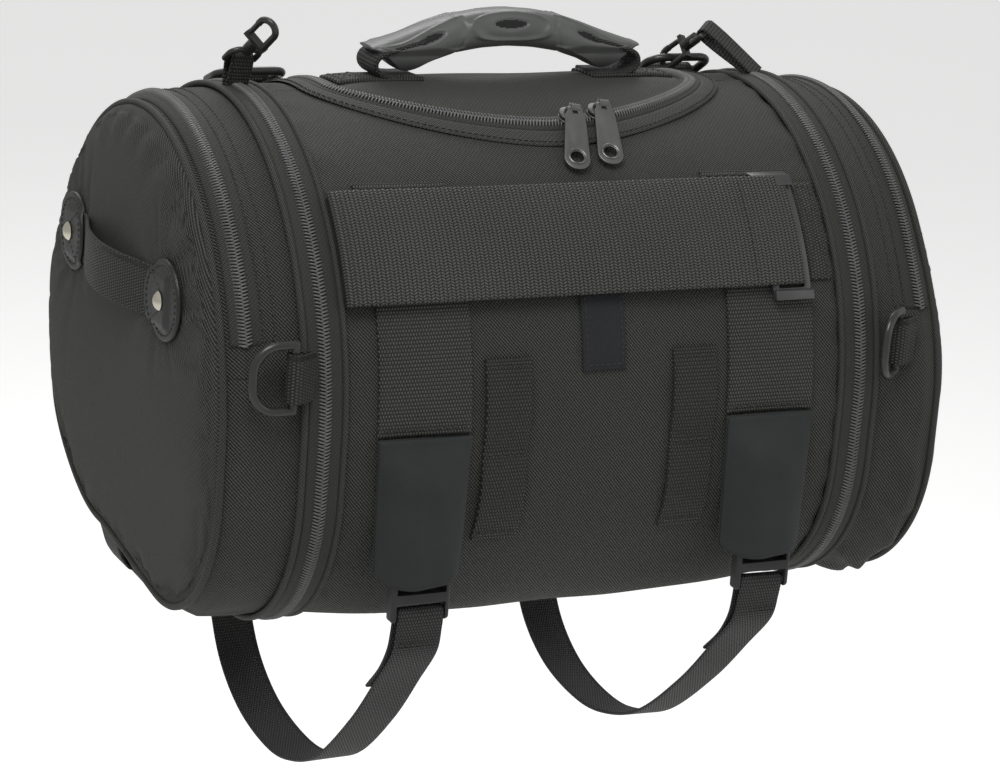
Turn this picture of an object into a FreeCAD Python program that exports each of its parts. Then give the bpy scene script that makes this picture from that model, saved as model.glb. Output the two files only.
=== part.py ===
import FreeCAD, Part

import math
import os

# Motorcycle tail bag: an expandable roll bag that straps to a sissy bar.
# Frame: millimetres, +Z up, X along the bag, the strapped mounting face looks towards -Y.
# Origin: centre of the flat bottom of the main compartment.

V = FreeCAD.Vector

# ---- driving dimensions: cross-section of the roll -------------------------------------
HALF_DEPTH = 136.0  # widest half-width, front to back
DOME_RISE = 150.0  # height of the half-ellipse that makes the top
DOME_BASE = 115.0  # height where the straight sides end and the dome begins
CORNER_R = 88.0  # radius of the two lower corners
FLAT_HALF = HALF_DEPTH - CORNER_R  # half-width of the flat bottom

# ---- driving dimensions: along the roll ------------------------------------------------
BODY_HALF = 140.0  # main compartment ends here, at its piping
PIPING_R = 1.7
EXPANSION_ZIP = 153.0  # centre line of each expansion zipper
POCKET_ZIP = 192.0  # centre line of each end-pocket zipper
END_SEAM = 202.0  # seam between the end boxing and the end panel
END_BULGE = 11.0  # how far the padded end panel stands out past its seam
POCKET_INSET = 4.0  # the outline has shrunk by this much at the pocket zipper
SEAM_INSET = 9.5  # and by this much at the end seam

# ---- material thicknesses --------------------------------------------------------------
SKIN = 2.5  # padded outer fabric
LINING = 0.8
WEB = 1.6  # polyester webbing
LAY = 0.3  # gap between a sewn-on layer and the fabric under it
BOARD = 3.0
ZIP_TAPE = 1.8
ZIP_HALF = 8.7  # width of one half of an expansion zipper with its tape
LID_TAPE = 5.5  # width of the lid's half of its zipper
LID_FLANGE = 14.0  # width of the shell's half, with the binding beside it
ZIP_GAP = 0.25  # half of the gap between the two halves of a closed zipper

# ---- lid -------------------------------------------------------------------------------
LID_HALF = 107.0
LID_REAR = 60.0  # y of the hinge line
LID_SHOULDER = -5.0  # y where the straight sides of the lid run into its curved front
LID_NOSE = 47.0  # how far the curved front reaches past the shoulder
LID_POWER = 1.7  # bluntness of the curved front
LID_CLEAR = 0.6

# ---- webbing and hardware on the mounting face -----------------------------------------
STRIP_IN, STRIP_OUT = 73.5, 124.3  # 50 mm vertical webbings
STRIP_TOP, STRIP_LOW = 233.0, 117.0
DAISY_IN, DAISY_OUT = 40.8, 66.2  # 25 mm tie-down webbings
DAISY_TOP, DAISY_LOW = 153.0, 57.0
STRAP_LEFT, STRAP_RIGHT = -141.0, 119.0  # ends of the wide sissy bar strap
STRAP_TOP, STRAP_LOW = 228.0, 180.5
STRAP_OFFSET = 4.4  # the strap stands this far off the fabric
STRAP_THICK = 2.4
BUCKLE_X = 98.9  # centre of each lower buckle and strap
SLEEVE_WIDE, SLEEVE_DEEP = 49.0, 13.0
SLEEVE_TOP, SLEEVE_LOW = 116.0, 42.0
BUCKLE_WIDE, BUCKLE_DEEP = 32.0, 8.0
LOWER_WEB = 25.4

# ---- rings and snap hooks --------------------------------------------------------------
RING_WIRE = 4.6
SIDE_RING_LONG, SIDE_RING_DEEP = 38.0, 26.0
TOP_RING_LONG, TOP_RING_DEEP = 42.0, 24.0
HOOK_WIRE = 3.6


def outline(grow):
    """Closed cross-section of the roll in the YZ plane, moved outwards by grow."""
    depth = HALF_DEPTH + grow
    rise = DOME_RISE + grow
    radius = CORNER_R + grow
    dome = Part.Ellipse(V(0, 0, DOME_BASE + rise), V(0, depth, DOME_BASE), V(0, 0, DOME_BASE))
    quarter = math.pi / 2
    top = Part.ArcOfEllipse(dome, -quarter, quarter).toShape()
    slant = radius * math.sin(math.pi / 4)
    pieces = [top]
    for side in (-1, 1):
        pieces.append(Part.makeLine(V(0, side * depth, DOME_BASE), V(0, side * depth, CORNER_R)))
        middle = V(0, side * (FLAT_HALF + slant), CORNER_R - slant)
        foot = V(0, side * FLAT_HALF, -grow)
        pieces.append(Part.Arc(V(0, side * depth, CORNER_R), middle, foot).toShape())
    pieces.append(Part.makeLine(V(0, -FLAT_HALF, -grow), V(0, FLAT_HALF, -grow)))
    return Part.Wire(Part.__sortEdges__(pieces))


def disc(x, grow, thick):
    """Solid slice of the roll from x to x + thick."""
    wire = outline(grow)
    wire.translate(V(x, 0, 0))
    return Part.Face(wire).extrude(V(thick, 0, 0))


def ring(x0, x1, outer, inner):
    """Hollow slice of the roll between two x positions and two offsets."""
    return disc(x0, outer, x1 - x0).cut(disc(x0 - 1, inner, x1 - x0 + 2))


def cone(x0, grow0, x1, grow1):
    """Solid stretch of the roll whose outline changes from one offset to another."""
    first = outline(grow0)
    first.translate(V(x0, 0, 0))
    second = outline(grow1)
    second.translate(V(x1, 0, 0))
    return Part.makeLoft([first, second], True, True)


def block(x0, x1, y0, y1, z0, z1):
    return Part.makeBox(x1 - x0, y1 - y0, z1 - z0, V(x0, y0, z0))


def patch(x0, x1, z0, z1, inner, outer, side=-1):
    """Layer sewn on the front (side -1) or back (side 1) of the roll between two heights."""
    near, far = sorted((side * 20.0, side * 200.0))
    return ring(x0, x1, outer, inner).common(block(x0, x1, near, far, z0, z1))


def mirrored(shape):
    """The same piece on the other end of the bag."""
    return shape.mirror(V(0, 0, 0), V(1, 0, 0))


def side_of(shape, side):
    """Pieces are drawn for the right end; side -1 gives the left one."""
    return shape if side > 0 else mirrored(shape)


def group(*shapes):
    return Part.makeCompound(list(shapes))


def placed(shape, centre, x_axis, z_axis):
    """Moves a piece drawn at the origin so that its own X and Z point along the given axes."""
    z = V(*z_axis).normalize()
    y = z.cross(V(*x_axis)).normalize()
    x = y.cross(z)
    cx, cy, cz = centre
    frame = FreeCAD.Matrix(x.x, y.x, z.x, cx, x.y, y.y, z.y, cy, x.z, y.z, z.z, cz, 0, 0, 0, 1)
    copy = shape.copy()
    copy.Placement = FreeCAD.Placement(frame).multiply(copy.Placement)
    return copy


def ribbon(points, thick, low, high, across="X"):
    """Bent strip of webbing: a smooth path of (u, v) points given a thickness and a width.

    With across "X" the path lies in the YZ plane, with "Y" in the XZ plane, with "Z" in the XY plane.
    """
    path = Part.BSplineCurve()
    path.interpolate([V(u, v, 0) for u, v in points])
    steps = 8 * len(points)
    first, last = path.FirstParameter, path.LastParameter
    sides = ([], [])
    for i in range(steps + 1):
        parameter = first + (last - first) * i / steps
        here = path.value(parameter)
        along = path.tangent(parameter)[0]
        normal = V(-along.y, along.x, 0)
        sides[0].append(here + normal * (thick / 2))
        sides[1].append(here - normal * (thick / 2))
    edges = []
    for side in sides:
        curve = Part.BSplineCurve()
        curve.interpolate(side)
        edges.append(curve.toShape())
    edges.append(Part.makeLine(sides[0][0], sides[1][0]))
    edges.append(Part.makeLine(sides[0][-1], sides[1][-1]))
    face = Part.Face(Part.Wire(Part.__sortEdges__(edges)))
    solid = face.extrude(V(0, 0, high - low))
    solid.translate(V(0, 0, low))
    turns = {
        "X": FreeCAD.Matrix(0, 0, 1, 0, 1, 0, 0, 0, 0, 1, 0, 0, 0, 0, 0, 1),
        "Y": FreeCAD.Matrix(1, 0, 0, 0, 0, 0, 1, 0, 0, 1, 0, 0, 0, 0, 0, 1),
        "Z": FreeCAD.Matrix(),
    }
    return solid.transformGeometry(turns[across])


def pipe(edges, wire, centre, direction):
    """Round wire of the given diameter bent along a closed or open path."""
    section = Part.Wire(Part.makeCircle(wire / 2, centre, direction))
    return Part.Wire(edges).makePipe(Part.Face(section))


def d_ring(long, deep, wire, corner):
    """Welded wire ring drawn with its straight bar on the X axis and its bow towards +Z."""
    half = long / 2 - wire / 2
    bow = deep - wire
    rise = bow - corner
    edges = [
        Part.makeLine(V(-half, 0, 0), V(half, 0, 0)),
        Part.makeLine(V(half, 0, 0), V(half, 0, rise)),
    ]
    bend = corner * (1 - math.sqrt(0.5))
    top = half - corner
    edges.append(Part.Arc(V(half, 0, rise), V(half - bend, 0, bow - bend), V(top, 0, bow)).toShape())
    edges.append(Part.makeLine(V(top, 0, bow), V(-top, 0, bow)))
    edges.append(Part.Arc(V(-top, 0, bow), V(bend - half, 0, bow - bend), V(-half, 0, rise)).toShape())
    edges.append(Part.makeLine(V(-half, 0, rise), V(-half, 0, 0)))
    ring_body = None
    for edge in edges:
        start = edge.valueAt(edge.FirstParameter)
        piece = pipe([edge], wire, start, edge.tangentAt(edge.FirstParameter))
        knuckle = Part.makeSphere(wire / 2, start)
        piece = piece.fuse(knuckle)
        ring_body = piece if ring_body is None else ring_body.fuse(piece)
    return ring_body.removeSplitter()


def web_loop(width, tail, wire):
    """Webbing folded round a bar on the X axis, its two plies running down to z = -tail."""
    inner = wire / 2 + 0.3
    outer = inner + WEB
    loop = Part.makeCylinder(outer, width, V(-width / 2, 0, 0), V(1, 0, 0))
    plies = block(-width / 2, width / 2, -outer * 0.62, outer * 0.62, -tail, 0)
    bore = Part.makeCylinder(inner, width + 2, V(-width / 2 - 1, 0, 0), V(1, 0, 0))
    return loop.fuse(plies).cut(bore).removeSplitter()


def export(name, shape):
    solids = [shape] if shape.ShapeType == "Solid" else shape.Solids
    for solid in solids:
        if not solid.isValid() or solid.Volume <= 0:
            print("check", name, "valid", solid.isValid(), "volume", round(solid.Volume, 2))
    result = solids[0] if len(solids) == 1 else Part.makeCompound(solids)
    result.exportStep(os.path.join("parts", name + ".step"))
    box = result.BoundBox
    print(f"{name:32s} solids {len(solids)}  x {box.XMin:7.1f} {box.XMax:7.1f}"
          f"  y {box.YMin:7.1f} {box.YMax:7.1f}  z {box.ZMin:7.1f} {box.ZMax:7.1f}")


def surface(y):
    """Height of the dome at a y position, on the outer fabric."""
    return DOME_BASE + DOME_RISE * math.sqrt(1 - (y / HALF_DEPTH) ** 2)


def surface_normal(y):
    """Outward normal of the dome in the YZ plane."""
    across = y / HALF_DEPTH**2
    up = (surface(y) - DOME_BASE) / DOME_RISE**2
    size = math.hypot(across, up)
    return across / size, up / size


# ---- main compartment ------------------------------------------------------------------
def lid_nose(x, grow=0.0):
    """y of the curved front edge of the lid at an x position."""
    share = min(1.0, abs(x) / (LID_HALF + grow))
    return LID_SHOULDER - (LID_NOSE + grow) * (1 - share**LID_POWER) ** (1 / LID_POWER)


def lid_prism(grow, rear=LID_REAR):
    """Upright prism over the plan outline of the lid, moved outwards by grow."""
    half = LID_HALF + grow
    nose = LID_NOSE + grow
    points = []
    for i in range(17):
        angle = math.pi * i / 16
        x = half * math.copysign(abs(math.cos(angle)) ** (2 / LID_POWER), math.cos(angle))
        points.append(V(x, LID_SHOULDER - nose * math.sin(angle) ** (2 / LID_POWER), 0))
    front = Part.BSplineCurve()
    front.interpolate(points)
    edges = [
        front.toShape(),
        Part.makeLine(points[0], V(half, rear, 0)),
        Part.makeLine(V(half, rear, 0), V(-half, rear, 0)),
        Part.makeLine(V(-half, rear, 0), points[-1]),
    ]
    prism = Part.Face(Part.Wire(Part.__sortEdges__(edges))).extrude(V(0, 0, 160))
    prism.translate(V(0, 0, 170))
    return prism


opening = lid_prism(LID_CLEAR, LID_REAR + LID_CLEAR)
export("main_shell", ring(-BODY_HALF, BODY_HALF, 0, -SKIN).cut(opening))

lining_out = SKIN + 0.4
lining = ring(2 - BODY_HALF, BODY_HALF - 2, -lining_out, -lining_out - LINING)
export("main_lining", lining.cut(lid_prism(4 * LID_CLEAR, LID_REAR + 4 * LID_CLEAR)))

board_gap = lining_out + LINING + 0.4
bottom_board = block(-125, 125, -50, 50, board_gap, board_gap + BOARD)
back_board = patch(-125, 125, 70, 205, -board_gap - BOARD, -board_gap)
export("stiffener_boards", group(bottom_board, back_board))

divider = disc(BODY_HALF - 4, -lining_out - LINING - 0.3, LINING)
export("end_dividers", group(divider, mirrored(divider)))

piping = ring(BODY_HALF + 0.2, BODY_HALF + 0.2 + 2 * PIPING_R, PIPING_R, -PIPING_R)
export("body_pipings", group(piping, mirrored(piping)))

fold_start = BODY_HALF + 4.2
gusset = ring(fold_start, EXPANSION_ZIP - 1.0, -1.2, -4.2)
export("expansion_gussets", group(gusset, mirrored(gusset)))

tape_in = EXPANSION_ZIP - ZIP_GAP - ZIP_HALF
body_tape = ring(tape_in, EXPANSION_ZIP - ZIP_GAP, ZIP_TAPE - 0.8, -0.8)
export("expansion_zip_body_halves", group(body_tape, mirrored(body_tape)))

# ---- lid -------------------------------------------------------------------------------
tape_layer = ring(-LID_HALF - 20, LID_HALF + 20, LAY + ZIP_TAPE, LAY)
tape_reach = block(-200, 200, -100, LID_REAR - 7, 200, 300)
body_side = lid_prism(LID_FLANGE).cut(lid_prism(ZIP_GAP))
export("lid_zip_body_half", tape_layer.common(body_side).common(tape_reach))
lid_side = lid_prism(-ZIP_GAP).cut(lid_prism(-LID_TAPE))
export("lid_zip_lid_half", tape_layer.common(lid_side).common(tape_reach))

lid_skin = ring(-LID_HALF, LID_HALF, 0, -SKIN)
export("lid_panel", lid_skin.common(lid_prism(-LID_CLEAR, LID_REAR - LID_CLEAR)))

# ---- carry handle on the lid -----------------------------------------------------------
HANDLE_Y = 10.0
HANDLE_AXIS_Z = 280.0  # the handle tips forwards and backwards about this line
HANDLE_SWEEP_R = 12.6  # everything low on the handle stays inside this radius of the axis
GRIP_WIDE = 28.0
HANDLE_WEB = 25.4

tail_layer = ring(50, 97, LAY + WEB, LAY)
tail = tail_layer.common(block(0, 200, HANDLE_Y - HANDLE_WEB / 2, HANDLE_Y + HANDLE_WEB / 2, 200, 300))
export("handle_web_tails", group(tail, mirrored(tail)))

sweep = Part.makeCylinder(HANDLE_SWEEP_R, 200, V(-100, HANDLE_Y, HANDLE_AXIS_Z), V(1, 0, 0))
above = block(-100, 100, HANDLE_Y - GRIP_WIDE / 2, HANDLE_Y + GRIP_WIDE / 2, HANDLE_AXIS_Z, 320)
handle_room = sweep.fuse(above)

web_path = [(-60, 271.5), (-72, 272.5), (-75.5, 277), (-70, 280.5), (-35, 290), (0, 293)]
web_path += [(-x, z) for x, z in reversed(web_path[:-1])]
web_low, web_high = HANDLE_Y - HANDLE_WEB / 2, HANDLE_Y + HANDLE_WEB / 2
handle_web = ribbon(web_path, 2.0, web_low, web_high, "Y").common(handle_room)
web_slot = ribbon(web_path, 3.2, web_low - 1, web_high + 1, "Y")

TIP_X, TIP_Z = 79.0, 284.0
grip_edges = [
    Part.Arc(V(-60, 0, 290), V(0, 0, 303.5), V(60, 0, 290)).toShape(),
    Part.makeLine(V(60, 0, 290), V(TIP_X - 3, 0, TIP_Z + 2.5)),
    Part.Arc(V(TIP_X - 3, 0, TIP_Z + 2.5), V(TIP_X, 0, TIP_Z), V(TIP_X - 2, 0, TIP_Z - 3)).toShape(),
    Part.makeLine(V(TIP_X - 2, 0, TIP_Z - 3), V(58, 0, 268.5)),
    Part.Arc(V(58, 0, 268.5), V(0, 0, 282), V(-58, 0, 268.5)).toShape(),
    Part.makeLine(V(-58, 0, 268.5), V(2 - TIP_X, 0, TIP_Z - 3)),
    Part.Arc(V(2 - TIP_X, 0, TIP_Z - 3), V(-TIP_X, 0, TIP_Z), V(3 - TIP_X, 0, TIP_Z + 2.5)).toShape(),
    Part.makeLine(V(3 - TIP_X, 0, TIP_Z + 2.5), V(-60, 0, 290)),
]
grip = Part.Face(Part.Wire(grip_edges)).extrude(V(0, GRIP_WIDE, 0))
grip.translate(V(0, HANDLE_Y - GRIP_WIDE / 2, 0))
grip = grip.common(handle_room)
solid_grip = grip.cut(web_slot)
export("handle_grip", max(solid_grip.Solids, key=lambda s: s.Volume))
export("handle_webbing", handle_web)

# ---- lid zipper sliders and pull tabs --------------------------------------------------
SLIDER_OFFSETS = {"left": 13.0, "right": 31.0}
PULL_TILT = {"left": 16.0, "right": 12.0}  # degrees the hanging tab leans to -X
SLIDER_LONG, SLIDER_WIDE, SLIDER_THICK = 9.0, 11.0, 4.0
PULL_LONG, PULL_THICK = 40.0, 1.8
PULL_DROOP = 17.0  # degrees the tab hangs below the tangent of the dome at its slider
CROWN_R, CROWN_RISE = 1.1, 3.0


def zip_frame(x):
    """Centre of the lid zipper at an x position, and the outward normal there."""
    y = lid_nose(x)
    return (y, surface(y)), surface_normal(y)


def lid_slider(x, tilt):
    """Slider body with a raised crown bar, then the pull tab that hangs from the bar."""
    (y, z), (ny, nz) = zip_frame(x)
    base = LAY + ZIP_TAPE + 0.3
    long, wide = SLIDER_LONG / 2, SLIDER_WIDE / 2
    body = block(-long, long, -wide, wide, base, base + SLIDER_THICK)
    crown_z = base + SLIDER_THICK + CROWN_RISE
    bar = Part.makeCylinder(CROWN_R, 8.4, V(-4.2, 0, crown_z), V(1, 0, 0))
    for post in (-3.4, 3.4):
        bar = bar.fuse(block(post - 0.7, post + 0.7, -0.8, 0.8, base + 2, crown_z))
    bar.rotate(V(0, 0, 0), V(0, 0, 1), -tilt)
    body = body.fuse(bar).removeSplitter()

    flat = [V(-2.3, 3, 0), V(-2.3, -2.6, 0), V(2.3, -2.6, 0), V(2.3, 3, 0), V(5.0, 5.5, 0),
            V(6.6, PULL_LONG - 6, 0), V(4.5, PULL_LONG, 0), V(-4.5, PULL_LONG, 0),
            V(-6.6, PULL_LONG - 6, 0), V(-5.0, 5.5, 0)]
    flat.append(flat[0])
    tab = Part.Face(Part.makePolygon(flat)).extrude(V(0, 0, PULL_THICK))
    tab.translate(V(0, 0, -PULL_THICK / 2))
    knuckle = Part.makeCylinder(2.6, 4.6, V(-2.3, 0, 0), V(1, 0, 0))
    tab = tab.cut(block(-2.4, 2.4, -3, 2.0, -3, 3)).fuse(knuckle)
    tab = tab.cut(Part.makeCylinder(CROWN_R + 0.35, 8, V(-4, 0, 0), V(1, 0, 0)))
    tab = tab.cut(Part.makeCylinder(4.0, 6, V(0, PULL_LONG - 8, -3), V(0, 0, 1)))
    tab.rotate(V(0, 0, 0), V(1, 0, 0), -PULL_DROOP)
    tab.rotate(V(0, 0, 0), V(0, 0, 1), -tilt)
    tab.translate(V(0, 0, crown_z))

    return [placed(piece, (x, y, z), (-1, 0, 0), (0, ny, nz)) for piece in (body, tab)]


for side in ("left", "right"):
    slider, tab = lid_slider(SLIDER_OFFSETS[side], PULL_TILT[side])
    export(f"lid_slider_{side}", slider)
    export(f"lid_pull_tab_{side}", tab)

# ---- webbing sewn on the mounting face -------------------------------------------------
sewn = LAY + WEB
strip = patch(STRIP_IN, STRIP_OUT, STRIP_LOW, STRIP_TOP, LAY, sewn)
export("vertical_webbings", group(strip, mirrored(strip)))
daisy = patch(DAISY_IN, DAISY_OUT, DAISY_LOW, DAISY_TOP, LAY, sewn)
export("daisy_webbings", group(daisy, mirrored(daisy)))
export("hook_loop_patch", patch(-11.5, 13.5, 144, 198, LAY, sewn))
strap_layer = (STRAP_OFFSET, STRAP_OFFSET + STRAP_THICK)
export("sissy_bar_strap", patch(STRAP_LEFT, STRAP_RIGHT, STRAP_LOW, STRAP_TOP, *strap_layer))
export("strap_anchor_patch", patch(STRIP_OUT + 0.6, BODY_HALF - 2, STRAP_LOW + 2, STRAP_TOP - 1, LAY, sewn))

# Adjuster under the strap: two bars across it, joined by rails that stand past its edges.
GLIDE_LEFT, GLIDE_RIGHT, GLIDE_RAIL = 100.0, 123.0, 4.5
glide_low, glide_top = STRAP_LOW - GLIDE_RAIL - 0.6, STRAP_TOP + GLIDE_RAIL + 0.6
glide_back = sewn + 0.25
glide = patch(GLIDE_LEFT, GLIDE_RIGHT, glide_low, glide_top, glide_back, STRAP_OFFSET - 0.25)
glide = glide.cut(block(GLIDE_LEFT + 4, GLIDE_RIGHT - 4, -200, 0, STRAP_LOW, STRAP_TOP))
for low in (glide_low, STRAP_TOP + 0.6):
    rail = patch(GLIDE_LEFT, GLIDE_RIGHT, low, low + GLIDE_RAIL, glide_back, STRAP_OFFSET + 2.6)
    glide = glide.fuse(rail)
export("strap_triglide", glide.removeSplitter())

# ---- lower straps with their buckles ---------------------------------------------------
face_y = -HALF_DEPTH - 0.5
sleeve_back, sleeve_front = face_y, face_y - SLEEVE_DEEP
SLEEVE_WALL = 1.2


def strap_box(half_wide, y0, y1, z0, z1):
    return block(BUCKLE_X - half_wide, BUCKLE_X + half_wide, y0, y1, z0, z1)


def round_uprights(box, radius):
    """Rounds the four upright edges of a box."""
    uprights = [e for e in box.Edges if abs(e.Vertexes[0].Z - e.Vertexes[-1].Z) > 50]
    return box.makeFillet(radius, uprights)


sleeve = strap_box(SLEEVE_WIDE / 2, sleeve_front, sleeve_back, SLEEVE_LOW, SLEEVE_TOP)
sleeve = round_uprights(sleeve, 5.5)
hollow_half = SLEEVE_WIDE / 2 - SLEEVE_WALL
hollow_y = (sleeve_front + SLEEVE_WALL, sleeve_back - SLEEVE_WALL)
hollow = strap_box(hollow_half, *hollow_y, SLEEVE_LOW - 1, SLEEVE_TOP - SLEEVE_WALL)
sleeve = sleeve.cut(round_uprights(hollow, 4.3))
export("buckle_sleeves", group(sleeve, mirrored(sleeve)))

buckle_y = (sleeve_back + sleeve_front) / 2
shell_y = (buckle_y - BUCKLE_DEEP / 2, buckle_y + BUCKLE_DEEP / 2)
FEMALE_LOW, FEMALE_TOP = 58.0, 92.0
PRONG_TOP = 82.0
female = strap_box(BUCKLE_WIDE / 2, *shell_y, FEMALE_LOW, FEMALE_TOP)
female = female.makeFillet(2.0, female.Edges)
socket_wide, socket_deep = BUCKLE_WIDE / 2 - 2.0, BUCKLE_DEEP / 2 - 1.6
socket_y = (buckle_y - socket_deep, buckle_y + socket_deep)
socket = strap_box(socket_wide, *socket_y, FEMALE_LOW - 1, PRONG_TOP + 2)
web_window = strap_box(13.2, shell_y[0] - 1, shell_y[1] + 1, 87.2, 89.6)
female = female.cut(socket).cut(web_window)
export("female_buckles", group(female, mirrored(female)))

MALE_LOW = 22.0
male_body = strap_box(BUCKLE_WIDE / 2, *shell_y, MALE_LOW, FEMALE_LOW - 0.4)
male_body = male_body.makeFillet(2.0, male_body.Edges)
LADDER_BAR_R, LADDER_BAR_Z = 2.2, 25.5
male = male_body.cut(strap_box(13.4, shell_y[0] - 1, shell_y[1] + 1, MALE_LOW - 1, 32))
male = male.cut(strap_box(13.4, shell_y[0] - 1, shell_y[1] + 1, 37, 42))
ladder_start = V(BUCKLE_X - 13.8, buckle_y, LADDER_BAR_Z)
male = male.fuse(Part.makeCylinder(LADDER_BAR_R, 27.6, ladder_start, V(1, 0, 0)))
prong_y = (socket_y[0] + 0.4, socket_y[1] - 0.4)
for left, right in ((-13.4, -8.6), (-2.0, 2.0), (8.6, 13.4)):
    male = male.fuse(block(BUCKLE_X + left, BUCKLE_X + right, *prong_y, FEMALE_LOW - 3, PRONG_TOP))
male = male.removeSplitter()
for side, sign in (("left", -1), ("right", 1)):
    export(f"{side}_male_buckle", side_of(male, sign))

# The strap hangs in a deep loop under the bag, from the buckle to its seam low on the back.
LOOP_PATH = [(buckle_y, 22), (-139, 5), (-121, -17), (-92, -51), (-50, -88), (-10, -107), (24, -111),
             (62, -105), (92, -88), (110, -62), (120, -30), (123.5, 0), (123.5, 24), (124.6, 38), (127, 46)]
SEAM_LOW, SEAM_TOP = 41.0, 72.0
web_low, web_high = BUCKLE_X - LOWER_WEB / 2, BUCKLE_X + LOWER_WEB / 2
lower_strap = ribbon(LOOP_PATH, 2.4, web_low, web_high)
loop_centre = V(web_low, buckle_y, LADDER_BAR_Z)
loop_inner = LADDER_BAR_R + 0.35
loop = Part.makeCylinder(loop_inner + WEB, LOWER_WEB, loop_centre, V(1, 0, 0))
lower_strap = lower_strap.fuse(loop).cut(Part.makeCylinder(loop_inner, LOWER_WEB, loop_centre, V(1, 0, 0)))
lower_strap = lower_strap.fuse(patch(web_low, web_high, SEAM_LOW, SEAM_TOP, LAY, LAY + 2.4, 1))
for side, sign in (("left", -1), ("right", 1)):
    export(f"{side}_lower_strap", side_of(lower_strap, sign))

# ---- end pockets that slide out on the expansion zippers -------------------------------
SPLIT_Z = 150.0  # the upper half of the end panel folds down at this height
SPLIT_GAP = 0.5


def boxing(x0, x1, grow0, grow1):
    """Stretch of the padded side wall of an end pocket."""
    return cone(x0, grow0, x1, grow1).cut(cone(x0, grow0 - SKIN, x1, grow1 - SKIN))


above_split = block(100, 260, -200, 200, SPLIT_Z + SPLIT_GAP, 320)
below_split = block(100, 260, -200, 200, -20, SPLIT_Z - SPLIT_GAP)
wall_start = EXPANSION_ZIP + ZIP_GAP + ZIP_HALF
wall = boxing(EXPANSION_ZIP + 1.2, POCKET_ZIP - 0.4, -ZIP_TAPE, -POCKET_INSET)
lower_band = boxing(POCKET_ZIP - 0.4, END_SEAM - 0.2, -POCKET_INSET, -SEAM_INSET)
wall = wall.fuse(lower_band.common(below_split)).removeSplitter()

shoulder_x = END_SEAM + 2 * END_BULGE / 3
dome_outer = cone(END_SEAM, -SEAM_INSET, shoulder_x, -SEAM_INSET - 7)
dome_crown = cone(shoulder_x, -SEAM_INSET - 7, END_SEAM + END_BULGE, -SEAM_INSET - 34)
dome_outer = dome_outer.fuse(dome_crown)
dome_inner = dome_outer.copy()
dome_inner.translate(V(-2.6, 0, 0))
end_panel = dome_outer.cut(dome_inner)
upper_band = boxing(POCKET_ZIP + 0.4, END_SEAM + 0.4, -POCKET_INSET, -SEAM_INSET)
pocket_flap = end_panel.fuse(upper_band).common(above_split).removeSplitter()
lower_panel = end_panel.common(below_split)
zip_ring = ring(EXPANSION_ZIP + ZIP_GAP, wall_start, ZIP_TAPE - 0.8, -0.8)
seam_cord = ring(wall_start + 0.4, wall_start + 0.4 + 2 * PIPING_R, PIPING_R - 0.6, -1.2)

# ---- grab handle on each end panel -----------------------------------------------------
GRAB_HALF, GRAB_Z, GRAB_WEB = 66.0, 174.0, 28.0
PATCH_R = 21.0
face_x = END_SEAM + END_BULGE
grab_path = [(face_x + 1.3, -GRAB_HALF - 12), (face_x + 1.3, -GRAB_HALF + 2), (face_x + 1.5, -GRAB_HALF + 17),
             (face_x + 5.2, -GRAB_HALF + 29), (face_x + 10.4, -GRAB_HALF + 46), (face_x + 12.5, 0)]
grab_path += [(x, -y) for x, y in reversed(grab_path[:-1])]
grab_web = ribbon(grab_path, 1.8, GRAB_Z - GRAB_WEB / 2, GRAB_Z + GRAB_WEB / 2, "Z")
patches = []
rivets = []
for y in (-GRAB_HALF - 4, GRAB_HALF + 4):
    cover = Part.makeCylinder(PATCH_R, 2.0, V(face_x + 2.7, y, GRAB_Z), V(1, 0, 0))
    hole = Part.makeCylinder(2.0, 8.0, V(face_x - 1, y, GRAB_Z), V(1, 0, 0))
    patches.append(cover.cut(hole))
    shank = Part.makeCylinder(1.7, 5.2, V(face_x + 0.2, y, GRAB_Z), V(1, 0, 0))
    ball = Part.makeSphere(6.0, V(face_x + 1.5, y, GRAB_Z))
    head = ball.common(block(face_x + 4.9, 240, y - 9, y + 9, 160, 190))
    rivets.append(shank.fuse(head).removeSplitter())
    grab_web = grab_web.cut(hole)

# ---- wire rings and the webbing tabs that hold them ------------------------------------
SIDE_RING_X, SIDE_RING_Z = 172.0, 152.0
SIDE_RING_Y = -HALF_DEPTH - RING_WIRE / 2 - 1.2
SIDE_WEB, TOP_WEB = 26.0, 30.0
LIFT_LEFT, LIFT_RIGHT = 23.0, 33.0  # degrees the top rings rise towards the front
TAB_LIFT = 31.0  # and the same for their webbing tabs
TOP_RING_X, TOP_RING_FOOT_Y, TOP_RING_RISE = 129.0, 56.0, 6.1
REAR_RING_AT = (176.0, 72.0, -13.0)
REAR_RING_LEAN = (-0.64, 0, -0.77)

side_ring = d_ring(SIDE_RING_LONG, SIDE_RING_DEEP, RING_WIRE, 13.0)
side_tab = web_loop(SIDE_WEB, 11.0, RING_WIRE)
top_ring = d_ring(TOP_RING_LONG, TOP_RING_DEEP, RING_WIRE, 9.0)
top_tab = web_loop(TOP_WEB, 22.0, RING_WIRE)
rear_tab = web_loop(SIDE_WEB, 20.0, RING_WIRE)

foot_y, foot_z = surface_normal(TOP_RING_FOOT_Y)
top_bar_y = TOP_RING_FOOT_Y + TOP_RING_RISE * foot_y
top_bar_z = surface(TOP_RING_FOOT_Y) + TOP_RING_RISE * foot_z


def on_top_bar(shape, x, lift):
    """Hangs a piece on a top ring's bar so that it rises towards the front by lift degrees."""
    angle = math.radians(lift)
    forwards = (0, -math.cos(angle), math.sin(angle))
    return placed(shape, (x, top_bar_y, top_bar_z), (1, 0, 0), forwards)


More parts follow.
